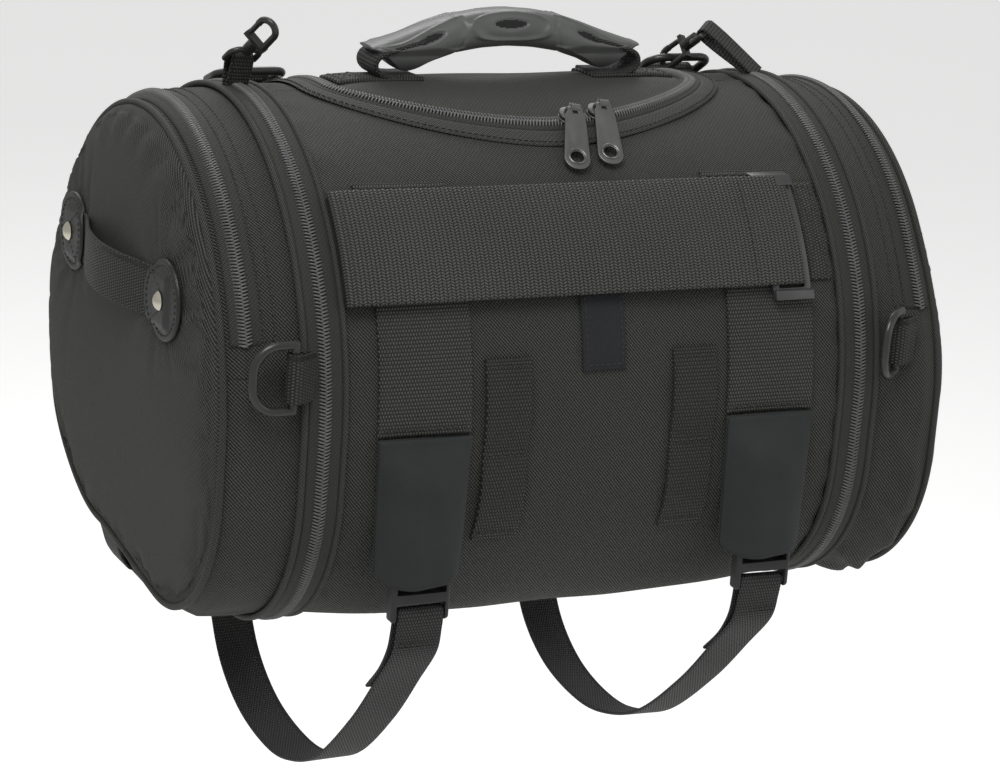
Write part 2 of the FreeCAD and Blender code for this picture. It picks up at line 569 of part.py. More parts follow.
export("left_top_ring", on_top_bar(top_ring, -TOP_RING_X, LIFT_LEFT))
export("right_top_ring", on_top_bar(top_ring, TOP_RING_X, LIFT_RIGHT))
top_tabs = [on_top_bar(top_tab, x, TAB_LIFT) for x in (-TOP_RING_X, TOP_RING_X)]
export("top_ring_tabs", group(*top_tabs))

# ---- snap hooks on the top corners -----------------------------------------------------
EYE_LONG, EYE_DEEP, EYE_WIRE = 21.0, 12.0, 3.2
BARREL_R, BARREL_END = 3.3, 13.0
HOOK_HALF = 5.2  # half the distance between the hook's two legs
HOOK_FOOT, HOOK_BOW, HOOK_NOSE = 18.4, 29.0, 27.0
HOOK_REACH = HOOK_BOW + HOOK_HALF - HOOK_WIRE / 2 - RING_WIRE / 2 - 1.0
HOOK_WEB = 14.0


def swivel_eye():
    """Eye that the webbing holds by its straight bar, with a short swivel pin at its crown."""
    eye = d_ring(EYE_LONG, EYE_DEEP, EYE_WIRE, 5.0)
    eye = eye.fuse(Part.makeCylinder(BARREL_R, BARREL_END - 7.5, V(0, 0, 7.5), V(0, 0, 1)))
    return eye.fuse(Part.makeCylinder(1.2, 2.6, V(0, 0, BARREL_END - 0.2), V(0, 0, 1))).removeSplitter()


def hook_body():
    """Open hook in its own XZ plane, its mouth on the +X side."""
    z = V(0, 0, 1)
    base = Part.makeCylinder(BARREL_R, 3.6, V(0, 0, BARREL_END + 0.3), z)
    base = base.fuse(block(-HOOK_HALF - 1.8, HOOK_HALF + 1.8, -2.2, 2.2, BARREL_END + 3.0, HOOK_FOOT))
    base = base.cut(Part.makeCylinder(1.5, 3.2, V(0, 0, BARREL_END), z))
    leg = Part.makeCylinder(HOOK_WIRE / 2, HOOK_BOW - HOOK_FOOT + 1, V(-HOOK_HALF, 0, HOOK_FOOT - 1), z)
    bow = Part.makeTorus(HOOK_HALF, HOOK_WIRE / 2, V(0, 0, HOOK_BOW), V(0, 1, 0))
    bow = bow.common(block(-12, 12, -6, 6, HOOK_BOW, HOOK_BOW + 12))
    nose = Part.makeCylinder(HOOK_WIRE / 2, HOOK_BOW - HOOK_NOSE, V(HOOK_HALF, 0, HOOK_NOSE), z)
    return base.fuse([leg, bow, nose]).removeSplitter()


def hook_gate():
    """Sprung gate that closes the mouth, pivoting at its foot."""
    foot = HOOK_FOOT + 2.0
    stem = Part.makeCylinder(1.5, HOOK_NOSE - 0.4 - foot, V(HOOK_HALF, 0, foot), V(0, 0, 1))
    return stem.fuse(Part.makeSphere(1.5, V(HOOK_HALF, 0, foot))).removeSplitter()


def cross(a, b):
    product = V(*a).cross(V(*b))
    return product.x, product.y, product.z


def away(point, direction, distance):
    unit = V(*direction).normalize()
    return tuple(V(*point) + unit * distance)


catch_angle = math.radians(LIFT_RIGHT)
catch_run = TOP_RING_DEEP - RING_WIRE
catch_y = top_bar_y - catch_run * math.cos(catch_angle)
catch_z = top_bar_z + catch_run * math.sin(catch_angle)
clipped_axis = (-0.39, 0.65, -0.65)
clipped_eye = away((TOP_RING_X - 8, catch_y, catch_z), clipped_axis, -HOOK_REACH)
HOOKS = {
    # side: eye position, hook axis, direction that the hook's flat side faces, foot of the tab
    "left": ((-152.0, 4.0, 279.5), (0.2, -0.72, 0.66), (-0.43, -0.86, 0.27), (-153.5, 5.0, 266.0)),
    "right": (clipped_eye, clipped_axis, (1, 0, 0), (156.0, 6.0, 266.0)),
}


def hook_tab(side):
    """Webbing tab from the gusset seam up to the eye of the snap hook."""
    eye, axis, _, foot = HOOKS[side]
    rise = tuple(V(*eye) - V(*foot))
    tab = web_loop(HOOK_WEB, V(*rise).Length, EYE_WIRE)
    tab = placed(tab, eye, cross(axis, rise), rise)
    return tab.cut(side_of(disc(BODY_HALF, PIPING_R + 0.2, 30), 1 if side == "right" else -1))


def eye_across(side):
    """Direction of the bar that the webbing loops over."""
    eye, axis, _, foot = HOOKS[side]
    return cross(axis, tuple(V(*eye) - V(*foot)))


for side, sign in (("left", -1), ("right", 1)):
    eye, axis, facing, _ = HOOKS[side]
    export(f"{side}_hook_eye", placed(swivel_eye(), eye, eye_across(side), axis))
    export(f"{side}_snap_hook", placed(hook_body(), eye, cross(facing, axis), axis))
    export(f"{side}_hook_gate", placed(hook_gate(), eye, cross(facing, axis), axis))

SIDE_RING_POSE = {
    # side: direction of the bow, direction from the bar away from the sewn tail
    "left": ((-1, 0, 0), (-1, 0, 0)),
    "right": ((-0.77, -0.64, 0), (-1, 0, 0)),
}

for side, sign in (("left", -1), ("right", 1)):
    bow, tab_way = SIDE_RING_POSE[side]
    at = (sign * SIDE_RING_X, SIDE_RING_Y, SIDE_RING_Z)
    export(f"{side}_side_ring", placed(side_ring, at, (0, 0, 1), bow))
    rear_at = (sign * REAR_RING_AT[0], *REAR_RING_AT[1:])
    rear_lean = (sign * REAR_RING_LEAN[0], 0, REAR_RING_LEAN[2])
    export(f"{side}_rear_ring", placed(side_ring, rear_at, (0, 1, 0), rear_lean))
    tabs = group(
        placed(side_tab, at, (0, 0, 1), tab_way),
        placed(rear_tab, rear_at, (0, 1, 0), rear_lean),
        hook_tab(side),
    )
    export(f"{side}_end_tabs", tabs)
    export(f"{side}_end_wall", side_of(wall, sign))
    export(f"{side}_end_lower_panel", side_of(lower_panel, sign))
    export(f"{side}_pocket_flap", side_of(pocket_flap, sign))
    export(f"{side}_end_zip_tape", side_of(group(zip_ring, seam_cord), sign))
    export(f"{side}_grab_handle", side_of(grab_web, sign))
    export(f"{side}_grab_patches", side_of(group(*patches), sign))
    export(f"{side}_grab_rivets", side_of(group(*rivets), sign))
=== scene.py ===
import math

import bmesh
import bpy
import numpy as np
from mathutils import Matrix, Vector


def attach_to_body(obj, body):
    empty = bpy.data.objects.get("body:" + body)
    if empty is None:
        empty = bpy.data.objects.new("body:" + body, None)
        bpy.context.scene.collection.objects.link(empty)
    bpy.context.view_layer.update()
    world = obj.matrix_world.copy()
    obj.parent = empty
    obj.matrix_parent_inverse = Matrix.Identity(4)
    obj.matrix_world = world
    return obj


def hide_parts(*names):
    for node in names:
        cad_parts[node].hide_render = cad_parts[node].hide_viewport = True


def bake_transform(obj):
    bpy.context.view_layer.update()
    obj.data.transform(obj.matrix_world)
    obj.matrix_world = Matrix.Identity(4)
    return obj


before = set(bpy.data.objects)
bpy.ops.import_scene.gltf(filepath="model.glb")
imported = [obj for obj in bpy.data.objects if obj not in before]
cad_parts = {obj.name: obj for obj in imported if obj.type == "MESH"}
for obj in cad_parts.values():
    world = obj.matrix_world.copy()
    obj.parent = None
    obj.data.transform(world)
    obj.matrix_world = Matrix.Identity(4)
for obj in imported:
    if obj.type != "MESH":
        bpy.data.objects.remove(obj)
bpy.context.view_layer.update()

# Looks of the tail bag. Lengths are millimetres until a mesh is made; +Z up, mounting face towards -Y.
MM = 0.001
HALF_DEPTH, DOME_RISE, DOME_BASE, CORNER_R = 136.0, 150.0, 115.0, 88.0
FLAT_HALF = HALF_DEPTH - CORNER_R
BODY_HALF, EXPANSION_ZIP, POCKET_ZIP, END_SEAM = 140.0, 153.0, 192.0, 202.0
SPLIT_Z = 150.0
LID_HALF, LID_REAR, LID_SHOULDER, LID_NOSE, LID_POWER = 107.0, 60.0, -5.0, 47.0, 1.7
BODY_PIPING, END_PIPING = 141.9, 163.4
BODY_TAPE, END_TAPE = (143.2, 152.7), (153.3, 161.8)  # the two halves of the expansion zipper
COIL_HALF, COIL_PITCH = 3.6, 1.75  # half-width of a zipper coil and length of one tooth
MERGE, MERGE_FINE = 0.02, 0.001  # points closer than this are welded
SIDES = (("left", -1), ("right", 1))


# ---- materials ---------------------------------------------------------------------------
class Graph:
    """Small helper that writes a node material line by line."""

    def __init__(self, name, colour, rough, metal=0.0, sheen=0.0):
        self.material = bpy.data.materials.new(name)
        self.material.use_nodes = True
        self.tree = self.material.node_tree
        self.shader = self.tree.nodes["Principled BSDF"]
        self.shader.inputs["Base Color"].default_value = (*colour, 1)
        self.shader.inputs["Roughness"].default_value = rough
        self.shader.inputs["Metallic"].default_value = metal
        self.shader.inputs["Sheen Weight"].default_value = sheen
        self.shader.inputs["Sheen Roughness"].default_value = 0.5
        self.shader.inputs["Sheen Tint"].default_value = (0.75, 0.77, 0.72, 1)
        uv = self.node("ShaderNodeUVMap")
        split = self.node("ShaderNodeSeparateXYZ", Vector=uv.outputs[0])
        self.u, self.v = split.outputs[0], split.outputs[1]
        self.place = self.node("ShaderNodeTexCoord").outputs["Object"]

    def node(self, kind, **values):
        made = self.tree.nodes.new(kind)
        for key, value in values.items():
            name = key.replace("_", " ")
            if name not in made.inputs:
                setattr(made, key, value)
            elif isinstance(value, bpy.types.NodeSocket):
                self.tree.links.new(value, made.inputs[name])
            else:
                made.inputs[name].default_value = value
        return made

    def math(self, operation, a, b=0.0, c=0.0):
        made = self.node("ShaderNodeMath", operation=operation)
        for slot, value in enumerate((a, b, c)):
            if isinstance(value, bpy.types.NodeSocket):
                self.tree.links.new(value, made.inputs[slot])
            else:
                made.inputs[slot].default_value = value
        return made.outputs[0]

    def noise(self, scale, detail=3.0, rough=0.55):
        made = self.node("ShaderNodeTexNoise", Vector=self.place, Scale=scale, Detail=detail, Roughness=rough)
        return made.outputs["Fac"]

    def wave(self, phase):
        """0..1 wave of a phase counted in whole periods."""
        turned = self.math("SINE", self.math("MULTIPLY", phase, 2 * math.pi))
        return self.math("MULTIPLY_ADD", turned, 0.5, 0.5)

    def colours(self, factor, dark, light):
        mix = self.node("ShaderNodeMix", data_type="RGBA")
        self.tree.links.new(factor, mix.inputs[0])
        mix.inputs[6].default_value = (*dark, 1)
        mix.inputs[7].default_value = (*light, 1)
        self.tree.links.new(mix.outputs[2], self.shader.inputs["Base Color"])

    def roughness(self, factor, low, high):
        value = self.math("MULTIPLY_ADD", factor, high - low, low)
        self.tree.links.new(value, self.shader.inputs["Roughness"])

    def bump(self, *layers):
        """Stacks (height, depth in millimetres) bumps from coarse to fine."""
        normal = None
        for height, depth in layers:
            made = self.node("ShaderNodeBump", Height=height, Distance=depth * MM, Strength=1.0)
            if normal is not None:
                self.tree.links.new(normal, made.inputs["Normal"])
            normal = made.outputs[0]
        self.tree.links.new(normal, self.shader.inputs["Normal"])


def tone(colour, share):
    return tuple(c * share for c in colour)


def twill(name, colour, pitch=1.3, depth=0.3):
    """Diagonal ribs of coated polyester twill, their raised ribs coloured lighter as painted highlight and
    their grooves darker as painted shade.
    """
    g = Graph(name, colour, 0.7, sheen=0.05)
    slant = 1.15
    along = g.math("DIVIDE", g.math("SUBTRACT", g.v, g.math("MULTIPLY", g.u, slant)), pitch * 1.52)
    drift = g.math("MULTIPLY", g.noise(90.0), 0.35)
    ribs = g.wave(g.math("ADD", along, drift))
    yarn = g.wave(g.math("DIVIDE", g.math("MULTIPLY_ADD", g.u, slant, g.v), 2.6))
    grain = g.noise(1500.0, 2.0)
    weave = g.math("MULTIPLY_ADD", g.math("MULTIPLY_ADD", yarn, 0.4, ribs), 2.3, -1.2)
    cloud = g.noise(9.0, 4.0)
    speck = g.math("POWER", g.noise(900.0, 1.0), 2.0)
    # painted light: the raised ribs are lit and the grooves shaded through the base colour, from 0.02 to 3
    # times the fabric colour
    painted_rib_light = g.math("MULTIPLY", g.math("MAXIMUM", weave, 0.0), 0.8)
    shade = g.math("ADD", painted_rib_light, g.math("MULTIPLY", speck, 0.35))
    shade = g.math("MULTIPLY", shade, g.math("MULTIPLY_ADD", cloud, 0.7, 0.55))
    g.colours(shade, tone(colour, 0.02), tone(colour, 3.0))
    g.roughness(cloud, 0.62, 0.82)
    g.bump((cloud, 0.5), (weave, depth), (grain, 0.05))
    return g.material


def ribbed(name, colour, rib, run, depth=0.3, zigzag=False, along_u=False):
    """Heavy webbing: rows of short floats, stepped by half a float on every other row. The floats are
    coloured lighter as painted highlight and the gaps between them darker as painted shade.
    """
    g = Graph(name, colour, 0.62, sheen=0.04)
    across, forward = (g.u, g.v) if along_u else (g.v, g.u)
    row = g.math("DIVIDE", across, rib)
    step = g.math("MULTIPLY", g.math("MODULO", g.math("FLOOR", row), 2.0), 0.5)
    if zigzag:
        slope = g.math("PINGPONG", row, 1.0)
        step = g.math("MULTIPLY", slope, 0.8)
    column = g.wave(g.math("ADD", g.math("DIVIDE", forward, run), step))
    ridge = g.math("POWER", g.math("ABSOLUTE", g.math("SINE", g.math("MULTIPLY", row, math.pi))), 0.6)
    weave = g.math("MULTIPLY", ridge, g.math("MULTIPLY_ADD", column, 0.75, 0.25))
    weave = g.math("MAXIMUM", g.math("MULTIPLY_ADD", weave, 2.6, -0.75), 0.0)
    grain = g.noise(1400.0, 2.0)
    cloud = g.noise(14.0)
    shade = g.math("MULTIPLY_ADD", weave, 0.8, g.math("MULTIPLY", grain, 0.2))
    shade = g.math("MULTIPLY", shade, g.math("MULTIPLY_ADD", cloud, 0.7, 0.6))
    # painted light: the floats are lit and the gaps between them shaded through the base colour
    g.colours(shade, tone(colour, 0.02), tone(colour, 3.6))
    g.roughness(weave, 0.75, 0.5)
    g.bump((weave, depth), (grain, 0.06))
    return g.material


def plain_cloth(name, colour, rough=0.8, scale=1100.0, depth=0.06):
    g = Graph(name, colour, rough, sheen=0.03)
    grain = g.noise(scale, 2.0)
    cloud = g.noise(18.0)
    thread = g.wave(g.math("DIVIDE", g.v, 0.9))
    shade = g.math("MULTIPLY_ADD", cloud, 0.6, g.math("MULTIPLY", grain, 0.4))
    g.colours(shade, tone(colour, 0.45), tone(colour, 1.8))
    g.bump((cloud, 0.25), (thread, 0.04), (grain, depth))
    return g.material


def moulded(name, colour, rough, grain_scale=900.0, depth=0.03, metal=0.0, coat=0.0):
    """Moulded plastic, rubber or painted metal with a fine grain and worn, lighter patches."""
    g = Graph(name, colour, rough, metal=metal)
    g.shader.inputs["Coat Weight"].default_value = coat
    g.shader.inputs["Coat Roughness"].default_value = 0.3
    grain = g.noise(grain_scale, 3.0)
    cloud = g.noise(45.0, 5.0, 0.6)
    g.colours(cloud, tone(colour, 0.7), tone(colour, 1.35))
    g.roughness(g.noise(160.0), rough - 0.09, rough + 0.11)
    g.bump((cloud, 0.06), (grain, depth))
    return g.material


def leather(name, colour):
    g = Graph(name, colour, 0.38)
    cells = g.node("ShaderNodeTexVoronoi", Vector=g.place, Scale=700.0, feature="DISTANCE_TO_EDGE")
    grain = g.math("MINIMUM", g.math("MULTIPLY", cells.outputs["Distance"], 4.0), 1.0)
    cloud = g.noise(60.0)
    g.colours(cloud, tone(colour, 0.7), tone(colour, 1.4))
    g.roughness(grain, 0.5, 0.33)
    g.bump((cloud, 0.15), (grain, 0.05))
    return g.material


FABRIC = (0.030, 0.030, 0.026)
mat_twill = twill("twill_fabric", FABRIC)
mat_side = twill("twill_side", tone(FABRIC, 0.97))
# The lid and the end panels are the same twill toned darker: painted shade that takes down how brightly the
# lamps light them.
mat_lid_painted_shade = twill("twill_lid_painted_shade", tone(FABRIC, 0.9), pitch=1.2, depth=0.1)
mat_panel_painted_shade = twill("twill_panel_painted_shade", tone(FABRIC, 0.86), pitch=1.2, depth=0.2)
mat_piping = twill("piping_fabric", tone(FABRIC, 0.8), pitch=1.1, depth=0.08)
mat_tape = twill("zip_tape", tone(FABRIC, 0.62), pitch=0.9, depth=0.05)
mat_coil = moulded("zip_coil", (0.12, 0.122, 0.118), 0.32, depth=0.01)
mat_strap = ribbed("strap_webbing", (0.036, 0.036, 0.033), 2.3, 1.5, depth=0.4, zigzag=True, along_u=True)
mat_web = ribbed("webbing", (0.026, 0.026, 0.024), 1.9, 1.6, depth=0.4)
mat_web_side = ribbed("webbing_side", (0.026, 0.026, 0.024), 1.9, 1.6, depth=0.4, along_u=True)
mat_narrow = ribbed("narrow_webbing", (0.0145, 0.0145, 0.0135), 1.9, 1.6, depth=0.35)
mat_hanging = ribbed("hanging_webbing", (0.0135, 0.0135, 0.013), 1.7, 1.6, depth=0.25)
mat_loop = plain_cloth("hook_and_loop", (0.0165, 0.0175, 0.020), rough=0.95, scale=450.0, depth=0.5)
mat_sleeve = plain_cloth("sleeve_fabric", (0.024, 0.0255, 0.026), rough=0.88, scale=1500.0, depth=0.12)
mat_lining = plain_cloth("lining_cloth", (0.020, 0.020, 0.022), rough=0.55)
mat_stitch = plain_cloth("stitching", (0.029, 0.029, 0.026), rough=0.6)
mat_plastic = moulded("buckle_plastic", (0.022, 0.022, 0.023), 0.48)
mat_glide = moulded("glide_metal", (0.085, 0.088, 0.085), 0.4, metal=0.5)
mat_grip = moulded("grip_rubber", (0.105, 0.11, 0.105), 0.38, grain_scale=1300.0, depth=0.02)
mat_ring = moulded("ring_paint", (0.034, 0.034, 0.032), 0.3, metal=0.25, coat=0.3)
mat_zip_metal = moulded("zip_metal", (0.16, 0.16, 0.155), 0.33, metal=0.7)
mat_leather = leather("patch_leather", (0.018, 0.018, 0.017))
mat_rivet = moulded("rivet_nickel", (0.72, 0.68, 0.56), 0.24, metal=1.0, depth=0.01)
mat_mesh = plain_cloth("grip_mesh", (0.012, 0.012, 0.012), rough=0.9, scale=500.0, depth=0.4)
mat_board = moulded("board_plastic", (0.03, 0.03, 0.03), 0.6)


# ---- surface of the roll -----------------------------------------------------------------
def make_outline():
    """Half of the roll's outline from the ridge to the bottom centre: length, y, z and normal tables."""
    quarter = np.linspace(0, math.pi / 2, 240)
    y = np.concatenate([HALF_DEPTH * np.sin(quarter), FLAT_HALF + CORNER_R * np.cos(quarter), [0.0]])
    z = np.concatenate([DOME_BASE + DOME_RISE * np.cos(quarter), CORNER_R * (1 - np.sin(quarter)), [0.0]])
    run = np.concatenate([[0.0], np.cumsum(np.hypot(np.diff(y), np.diff(z)))])
    even = np.linspace(0, run[-1], 900)
    y, z = np.interp(even, run, y), np.interp(even, run, z)
    dy, dz = np.gradient(y, even), np.gradient(z, even)
    size = np.hypot(dy, dz)
    return even, y, z, -dz / size, dy / size


RUN, OUT_Y, OUT_Z, NORMAL_Y, NORMAL_Z = make_outline()
HALF_LOOP = RUN[-1]
NORMAL_Y[0], NORMAL_Z[0] = 0.0, 1.0
NORMAL_Y[-1], NORMAL_Z[-1] = 0.0, -1.0


def skin(x, s, h):
    """Point on the roll: x along it, s from the ridge down the front (negative down the back), h outwards."""
    x, s, h = np.broadcast_arrays(np.asarray(x, float), np.asarray(s, float), np.asarray(h, float))
    s = (s + HALF_LOOP) % (2 * HALF_LOOP) - HALF_LOOP
    a, front = np.abs(s), np.where(s >= 0, -1.0, 1.0)
    y = front * (np.interp(a, RUN, OUT_Y) + h * np.interp(a, RUN, NORMAL_Y))
    z = np.interp(a, RUN, OUT_Z) + h * np.interp(a, RUN, NORMAL_Z)
    return np.stack([x, y, z], -1)


def s_at_y(y):
    """Arc position on the dome of a y position; the front is positive."""
    return -np.sign(y) * np.interp(np.abs(y), OUT_Y[:500], RUN[:500])


def s_at_z(z):
    return float(np.interp(-z, -OUT_Z, RUN))


def wave(x, s):
    """Soft unevenness of the padded fabric, in millimetres."""
    x, s = np.asarray(x, float), np.asarray(s, float)
    loop = s * math.pi / HALF_LOOP
    broad = 0.6 * np.sin(x / 41 + 1.3 + 2.0 * np.sin(loop)) * np.sin(5 * loop + 0.4)
    fine = 0.25 * np.sin(x / 17 + 7 * loop) + 0.2 * np.sin(x / 11 - 11 * loop + 1.0)
    return broad + fine - 0.5


def body_skin(x, s, h=0.0):
    """Main compartment: puckered next to its pipings, and stuffed out at the lower front corner."""
    x, s = np.broadcast_arrays(np.asarray(x, float), np.asarray(s, float))
    near = np.exp(-(BODY_HALF - np.abs(x)) / 7.0)
    pucker = 0.45 * near * np.sin(s / 3.4 + 1.5 * np.sin(s / 21)) - 0.3 * near
    stuffed = 6.5 * np.exp(-(((s - s_at_z(12.0)) / 32) ** 2)) * np.clip(1 - (x / 142) ** 4, 0, 1)
    return skin(x, s, h + wave(x, s) + pucker + stuffed)


# ---- mesh helpers ------------------------------------------------------------------------
def link(name, data):
    made = bpy.data.objects.new(name, data)
    bpy.context.scene.collection.objects.link(made)
    return made


def add_mesh(name, points, faces, material, uvs=None):
    mesh = bpy.data.meshes.new(name)
    mesh.from_pydata((np.asarray(points, float) * MM).tolist(), [], [list(map(int, f)) for f in faces])
    mesh.validate()
    mesh.polygons.foreach_set("use_smooth", [True] * len(mesh.polygons))
    if uvs is not None:
        layer = mesh.uv_layers.new(name="cloth")
        index = np.zeros(len(mesh.loops), int)
        mesh.loops.foreach_get("vertex_index", index)
        layer.data.foreach_set("uv", np.asarray(uvs, np.float32)[index].ravel())
    mesh.materials.append(material)
    return link(name, mesh)


def grid_faces(rows, cols, around=False, first=0):
    faces = []
    for r in range(rows - 1):
        for c in range(cols if around else cols - 1):
            d = (c + 1) % cols
            faces.append((first + r * cols + c, first + r * cols + d, first + (r + 1) * cols + d,
                          first + (r + 1) * cols + c))
    return faces


def flipped(faces):
    return [tuple(reversed(f)) for f in faces]


def tube_faces(rows, cols, closed=False):
    """Faces of a tube of rows of cols points, closed into a ring or capped at both ends."""
    last = (rows - 1) * cols
    faces = grid_faces(rows, cols, around=True)
    if closed:
        return faces + [(last + c, last + (c + 1) % cols, (c + 1) % cols, c) for c in range(cols)]
    return faces + [tuple(range(cols - 1, -1, -1)), tuple(range(last, last + cols))]


def sheet(points, u, v, around=False):
    """Points in rows and columns as (points, faces, uvs); u and v are their places on the cloth."""
    return points.reshape(-1, 3), grid_faces(*u.shape, around=around), np.stack([u, v], -1).reshape(-1, 2)


def weld(made, distance):
    worker = bmesh.new()
    worker.from_mesh(made.data)
    bmesh.ops.remove_doubles(worker, verts=worker.verts, dist=distance * MM)
    bmesh.ops.recalc_face_normals(worker, faces=worker.faces)
    worker.to_mesh(made.data)
    worker.free()


def thicken(made, thick):
    modifier = made.modifiers.new("thickness", "SOLIDIFY")
    modifier.thickness = thick * MM
    modifier.offset = -1


def attach(made, body, stands_for=(), bend=None):
    """Rides a piece on a body. A bend, given as (other body, start, end), is not made: the piece's transform
    is only baked in and the piece is left unparented.
    """
    if bend is None:
        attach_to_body(made, body)
    else:
        other, start, end = bend
        tuple(c * MM for c in start)
        tuple(c * MM for c in end)
        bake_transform(made)
    if stands_for:
        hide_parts(*stands_for)


def piece(name, cloth, material, body, stands_for=(), bend=None, merge=None, thick=None):
    """One finished piece from (points, faces, uvs), welded and thickened where asked, on its body."""
    points, faces, uvs = cloth
    made = add_mesh(name, points, faces, material, uvs)
    if merge:
        weld(made, merge)
    if thick:
        thicken(made, thick)
    attach(made, body, stands_for, bend)


def join(parts):
    """Several (points, faces, uvs) stacked into one."""
    points, faces, uvs, first = [], [], [], 0
    for p, f, t in parts:
        points.append(np.asarray(p, float).reshape(-1, 3))
        uvs.append(np.asarray(t, float).reshape(-1, 2))
        faces += [tuple(i + first for i in face) for face in f]
        first += len(points[-1])
    return np.concatenate(points), faces, np.concatenate(uvs)


def run_along(path):
    """Length along a path at each of its points."""
    return np.concatenate([[0.0], np.cumsum(np.linalg.norm(np.diff(path, axis=0), axis=1))])


def ease(share):
    share = np.clip(share, 0, 1)
    return share * share * (3 - 2 * share)


def swell(share):
    """Quarter wave from 0 to 1."""
    return np.sin(np.clip(share, 0, 1) * math.pi / 2)


def round_rim(distance, width):
    """Quarter circle from 0 at the edge to 1 a width away from it."""
    return np.sqrt(1 - (1 - np.clip(distance / width, 0, 1)) ** 2)


def spread(a, b, step, rim):
    """Positions from a to b about a step apart, with extra ones close to both ends for a round rim."""
    count = max(2, int(round((b - a) / step)) + 1)
    near = np.array([0.0, 0.12, 0.45, 1.0]) * rim
    inner = np.linspace(a + rim, b - rim, count)[1:-1]
    return np.concatenate([a + near, inner, (b - near)[::-1]])


def pad(place, u_range, v_range, low, high, step=3.0, rim=0.8, lift=None):
    """Closed layer of cloth with a rounded rim. place(u, v, h) gives a point, lift(u, v) adds height."""
    u, v = spread(*u_range, step, rim), spread(*v_range, step, rim)
    uu, vv = np.meshgrid(u, v, indexing="ij")
    edge = np.minimum(np.minimum(uu - u[0], u[-1] - uu), np.minimum(vv - v[0], v[-1] - vv))
    share = round_rim(edge, rim)
    extra = 0.0 if lift is None else lift(uu, vv)
    top = place(uu, vv, low + (high - low) * (0.3 + 0.7 * share) + extra).reshape(-1, 3)
    under = place(uu, vv, low + extra * 0.6).reshape(-1, 3)
    rows, cols = uu.shape
    count = rows * cols
    faces = grid_faces(rows, cols)
    faces += flipped(grid_faces(rows, cols, first=count))
    border = [(0, c) for c in range(cols)] + [(r, cols - 1) for r in range(1, rows)]
    border += [(rows - 1, c) for c in range(cols - 2, -1, -1)] + [(r, 0) for r in range(rows - 2, 0, -1)]
    ring = [r * cols + c for r, c in border]
    for a, b in zip(ring, ring[1:] + ring[:1]):
        faces.append((b, a, a + count, b + count))
    uv = np.stack([uu, vv], -1).reshape(-1, 2)
    return np.concatenate([top, under]), faces, np.concatenate([uv, uv])


def sweep(path, across, profile, closed=False):
    """Moves a closed profile of (along across, along normal) points down a path."""
    path, across = np.asarray(path, float), np.asarray(across, float)
    if closed:
        ahead = np.roll(path, -1, 0) - np.roll(path, 1, 0)
    else:
        ahead = np.gradient(path, axis=0)
    ahead /= np.linalg.norm(ahead, axis=1)[:, None]
    across = np.broadcast_to(across, path.shape)
    normal = np.cross(ahead, across)
    normal /= np.linalg.norm(normal, axis=1)[:, None]
    wide = np.cross(normal, ahead)
    profile = np.asarray(profile, float)
    points = path[:, None] + wide[:, None] * profile[None, :, 0:1] + normal[:, None] * profile[None, :, 1:2]
    uv = np.stack(np.broadcast_arrays(run_along(profile)[None, :], run_along(path)[:, None]), -1)
    return points.reshape(-1, 3), tube_faces(len(path), len(profile), closed), uv.reshape(-1, 2)


def circle(radius, sides=10):
    angles = np.linspace(0, 2 * math.pi, sides, endpoint=False)
    return np.stack([radius * np.cos(angles), radius * np.sin(angles)], -1)


def band(width, thick):
    """Profile of flat webbing with rounded edges."""
    half, r = width / 2, thick / 2
    steps = (0.75, 0.5, 0.25, 0.0, -0.25, -0.5, -0.75)
    ends = np.linspace(-math.pi / 2, math.pi / 2, 5)
    right = [(half - r + r * math.cos(a), r * math.sin(a)) for a in ends]
    top = [(half * k, r) for k in steps]
    left = [(-x, -y) for x, y in right]
    low = [(-half * k, -r) for k in steps]
    return np.array(right + top + left + low)


def smooth_path(points, count):
    """Catmull-Rom curve through the points, evenly sampled."""
    p = np.asarray(points, float)
    p = np.concatenate([[2 * p[0] - p[1]], p, [2 * p[-1] - p[-2]]])
    out = []
    for i in range(1, len(p) - 2):
        t = np.linspace(0, 1, 24, endpoint=False)[:, None]
        a, b, c, d = p[i - 1], p[i], p[i + 1], p[i + 2]
        square, cube = 2 * a - 5 * b + 4 * c - d, 3 * b - a - 3 * c + d
        out.append(0.5 * (2 * b + (c - a) * t + square * t**2 + cube * t**3))
    out = np.concatenate(out + [p[-2:-1]])
    run = run_along(out)
    even = np.linspace(0, run[-1], count)
    return np.stack([np.interp(even, run, out[:, k]) for k in range(out.shape[1])], -1)


def stitches(path, normals, pitch=3.4, length=2.3, radius=0.34):
    """Row of thread stitches lying on a path of points."""
    path, normals = np.asarray(path, float), np.asarray(normals, float)
    run = run_along(path)
    count = max(1, int(run[-1] / pitch))
    parts = []
    for i in range(count):
        ends = np.array([-0.5, -0.3, 0.3, 0.5]) * length + (i + 0.5) * run[-1] / count
        dip = np.array([-0.35, 0.05, 0.05, -0.35])
        spots = np.stack([np.interp(ends, run, path[:, k]) for k in range(3)], -1)
        up = np.array([np.interp(ends[1], run, normals[:, k]) for k in range(3)])
        spots = spots + up * (dip[:, None] + 0.12)
        side = np.cross(spots[-1] - spots[0], up)
        side /= np.linalg.norm(side)
        turn = np.linspace(0, 2 * math.pi, 6, endpoint=False)
        size = radius * np.array([0.55, 1.0, 1.0, 0.55])
        shape = (np.cos(turn)[None, :, None] * side + np.sin(turn)[None, :, None] * up) * size[:, None, None]
        points = (spots[:, None] + shape).reshape(-1, 3)
        parts.append((points, tube_faces(4, 6), np.tile([[0.0, i * pitch]], (24, 1))))
    return join(parts)


def stitch_on(place, start, end, height, **style):
    """Straight row of stitches between two (u, v) spots of a surface."""
    t = np.linspace(0, 1, max(6, int(math.dist(start, end) / 2)))
    u, v = start[0] + (end[0] - start[0]) * t, start[1] + (end[1] - start[1]) * t
    low, high = place(u, v, height + 0 * t), place(u, v, height + 1 + 0 * t)
    return stitches(low, high - low, **style)


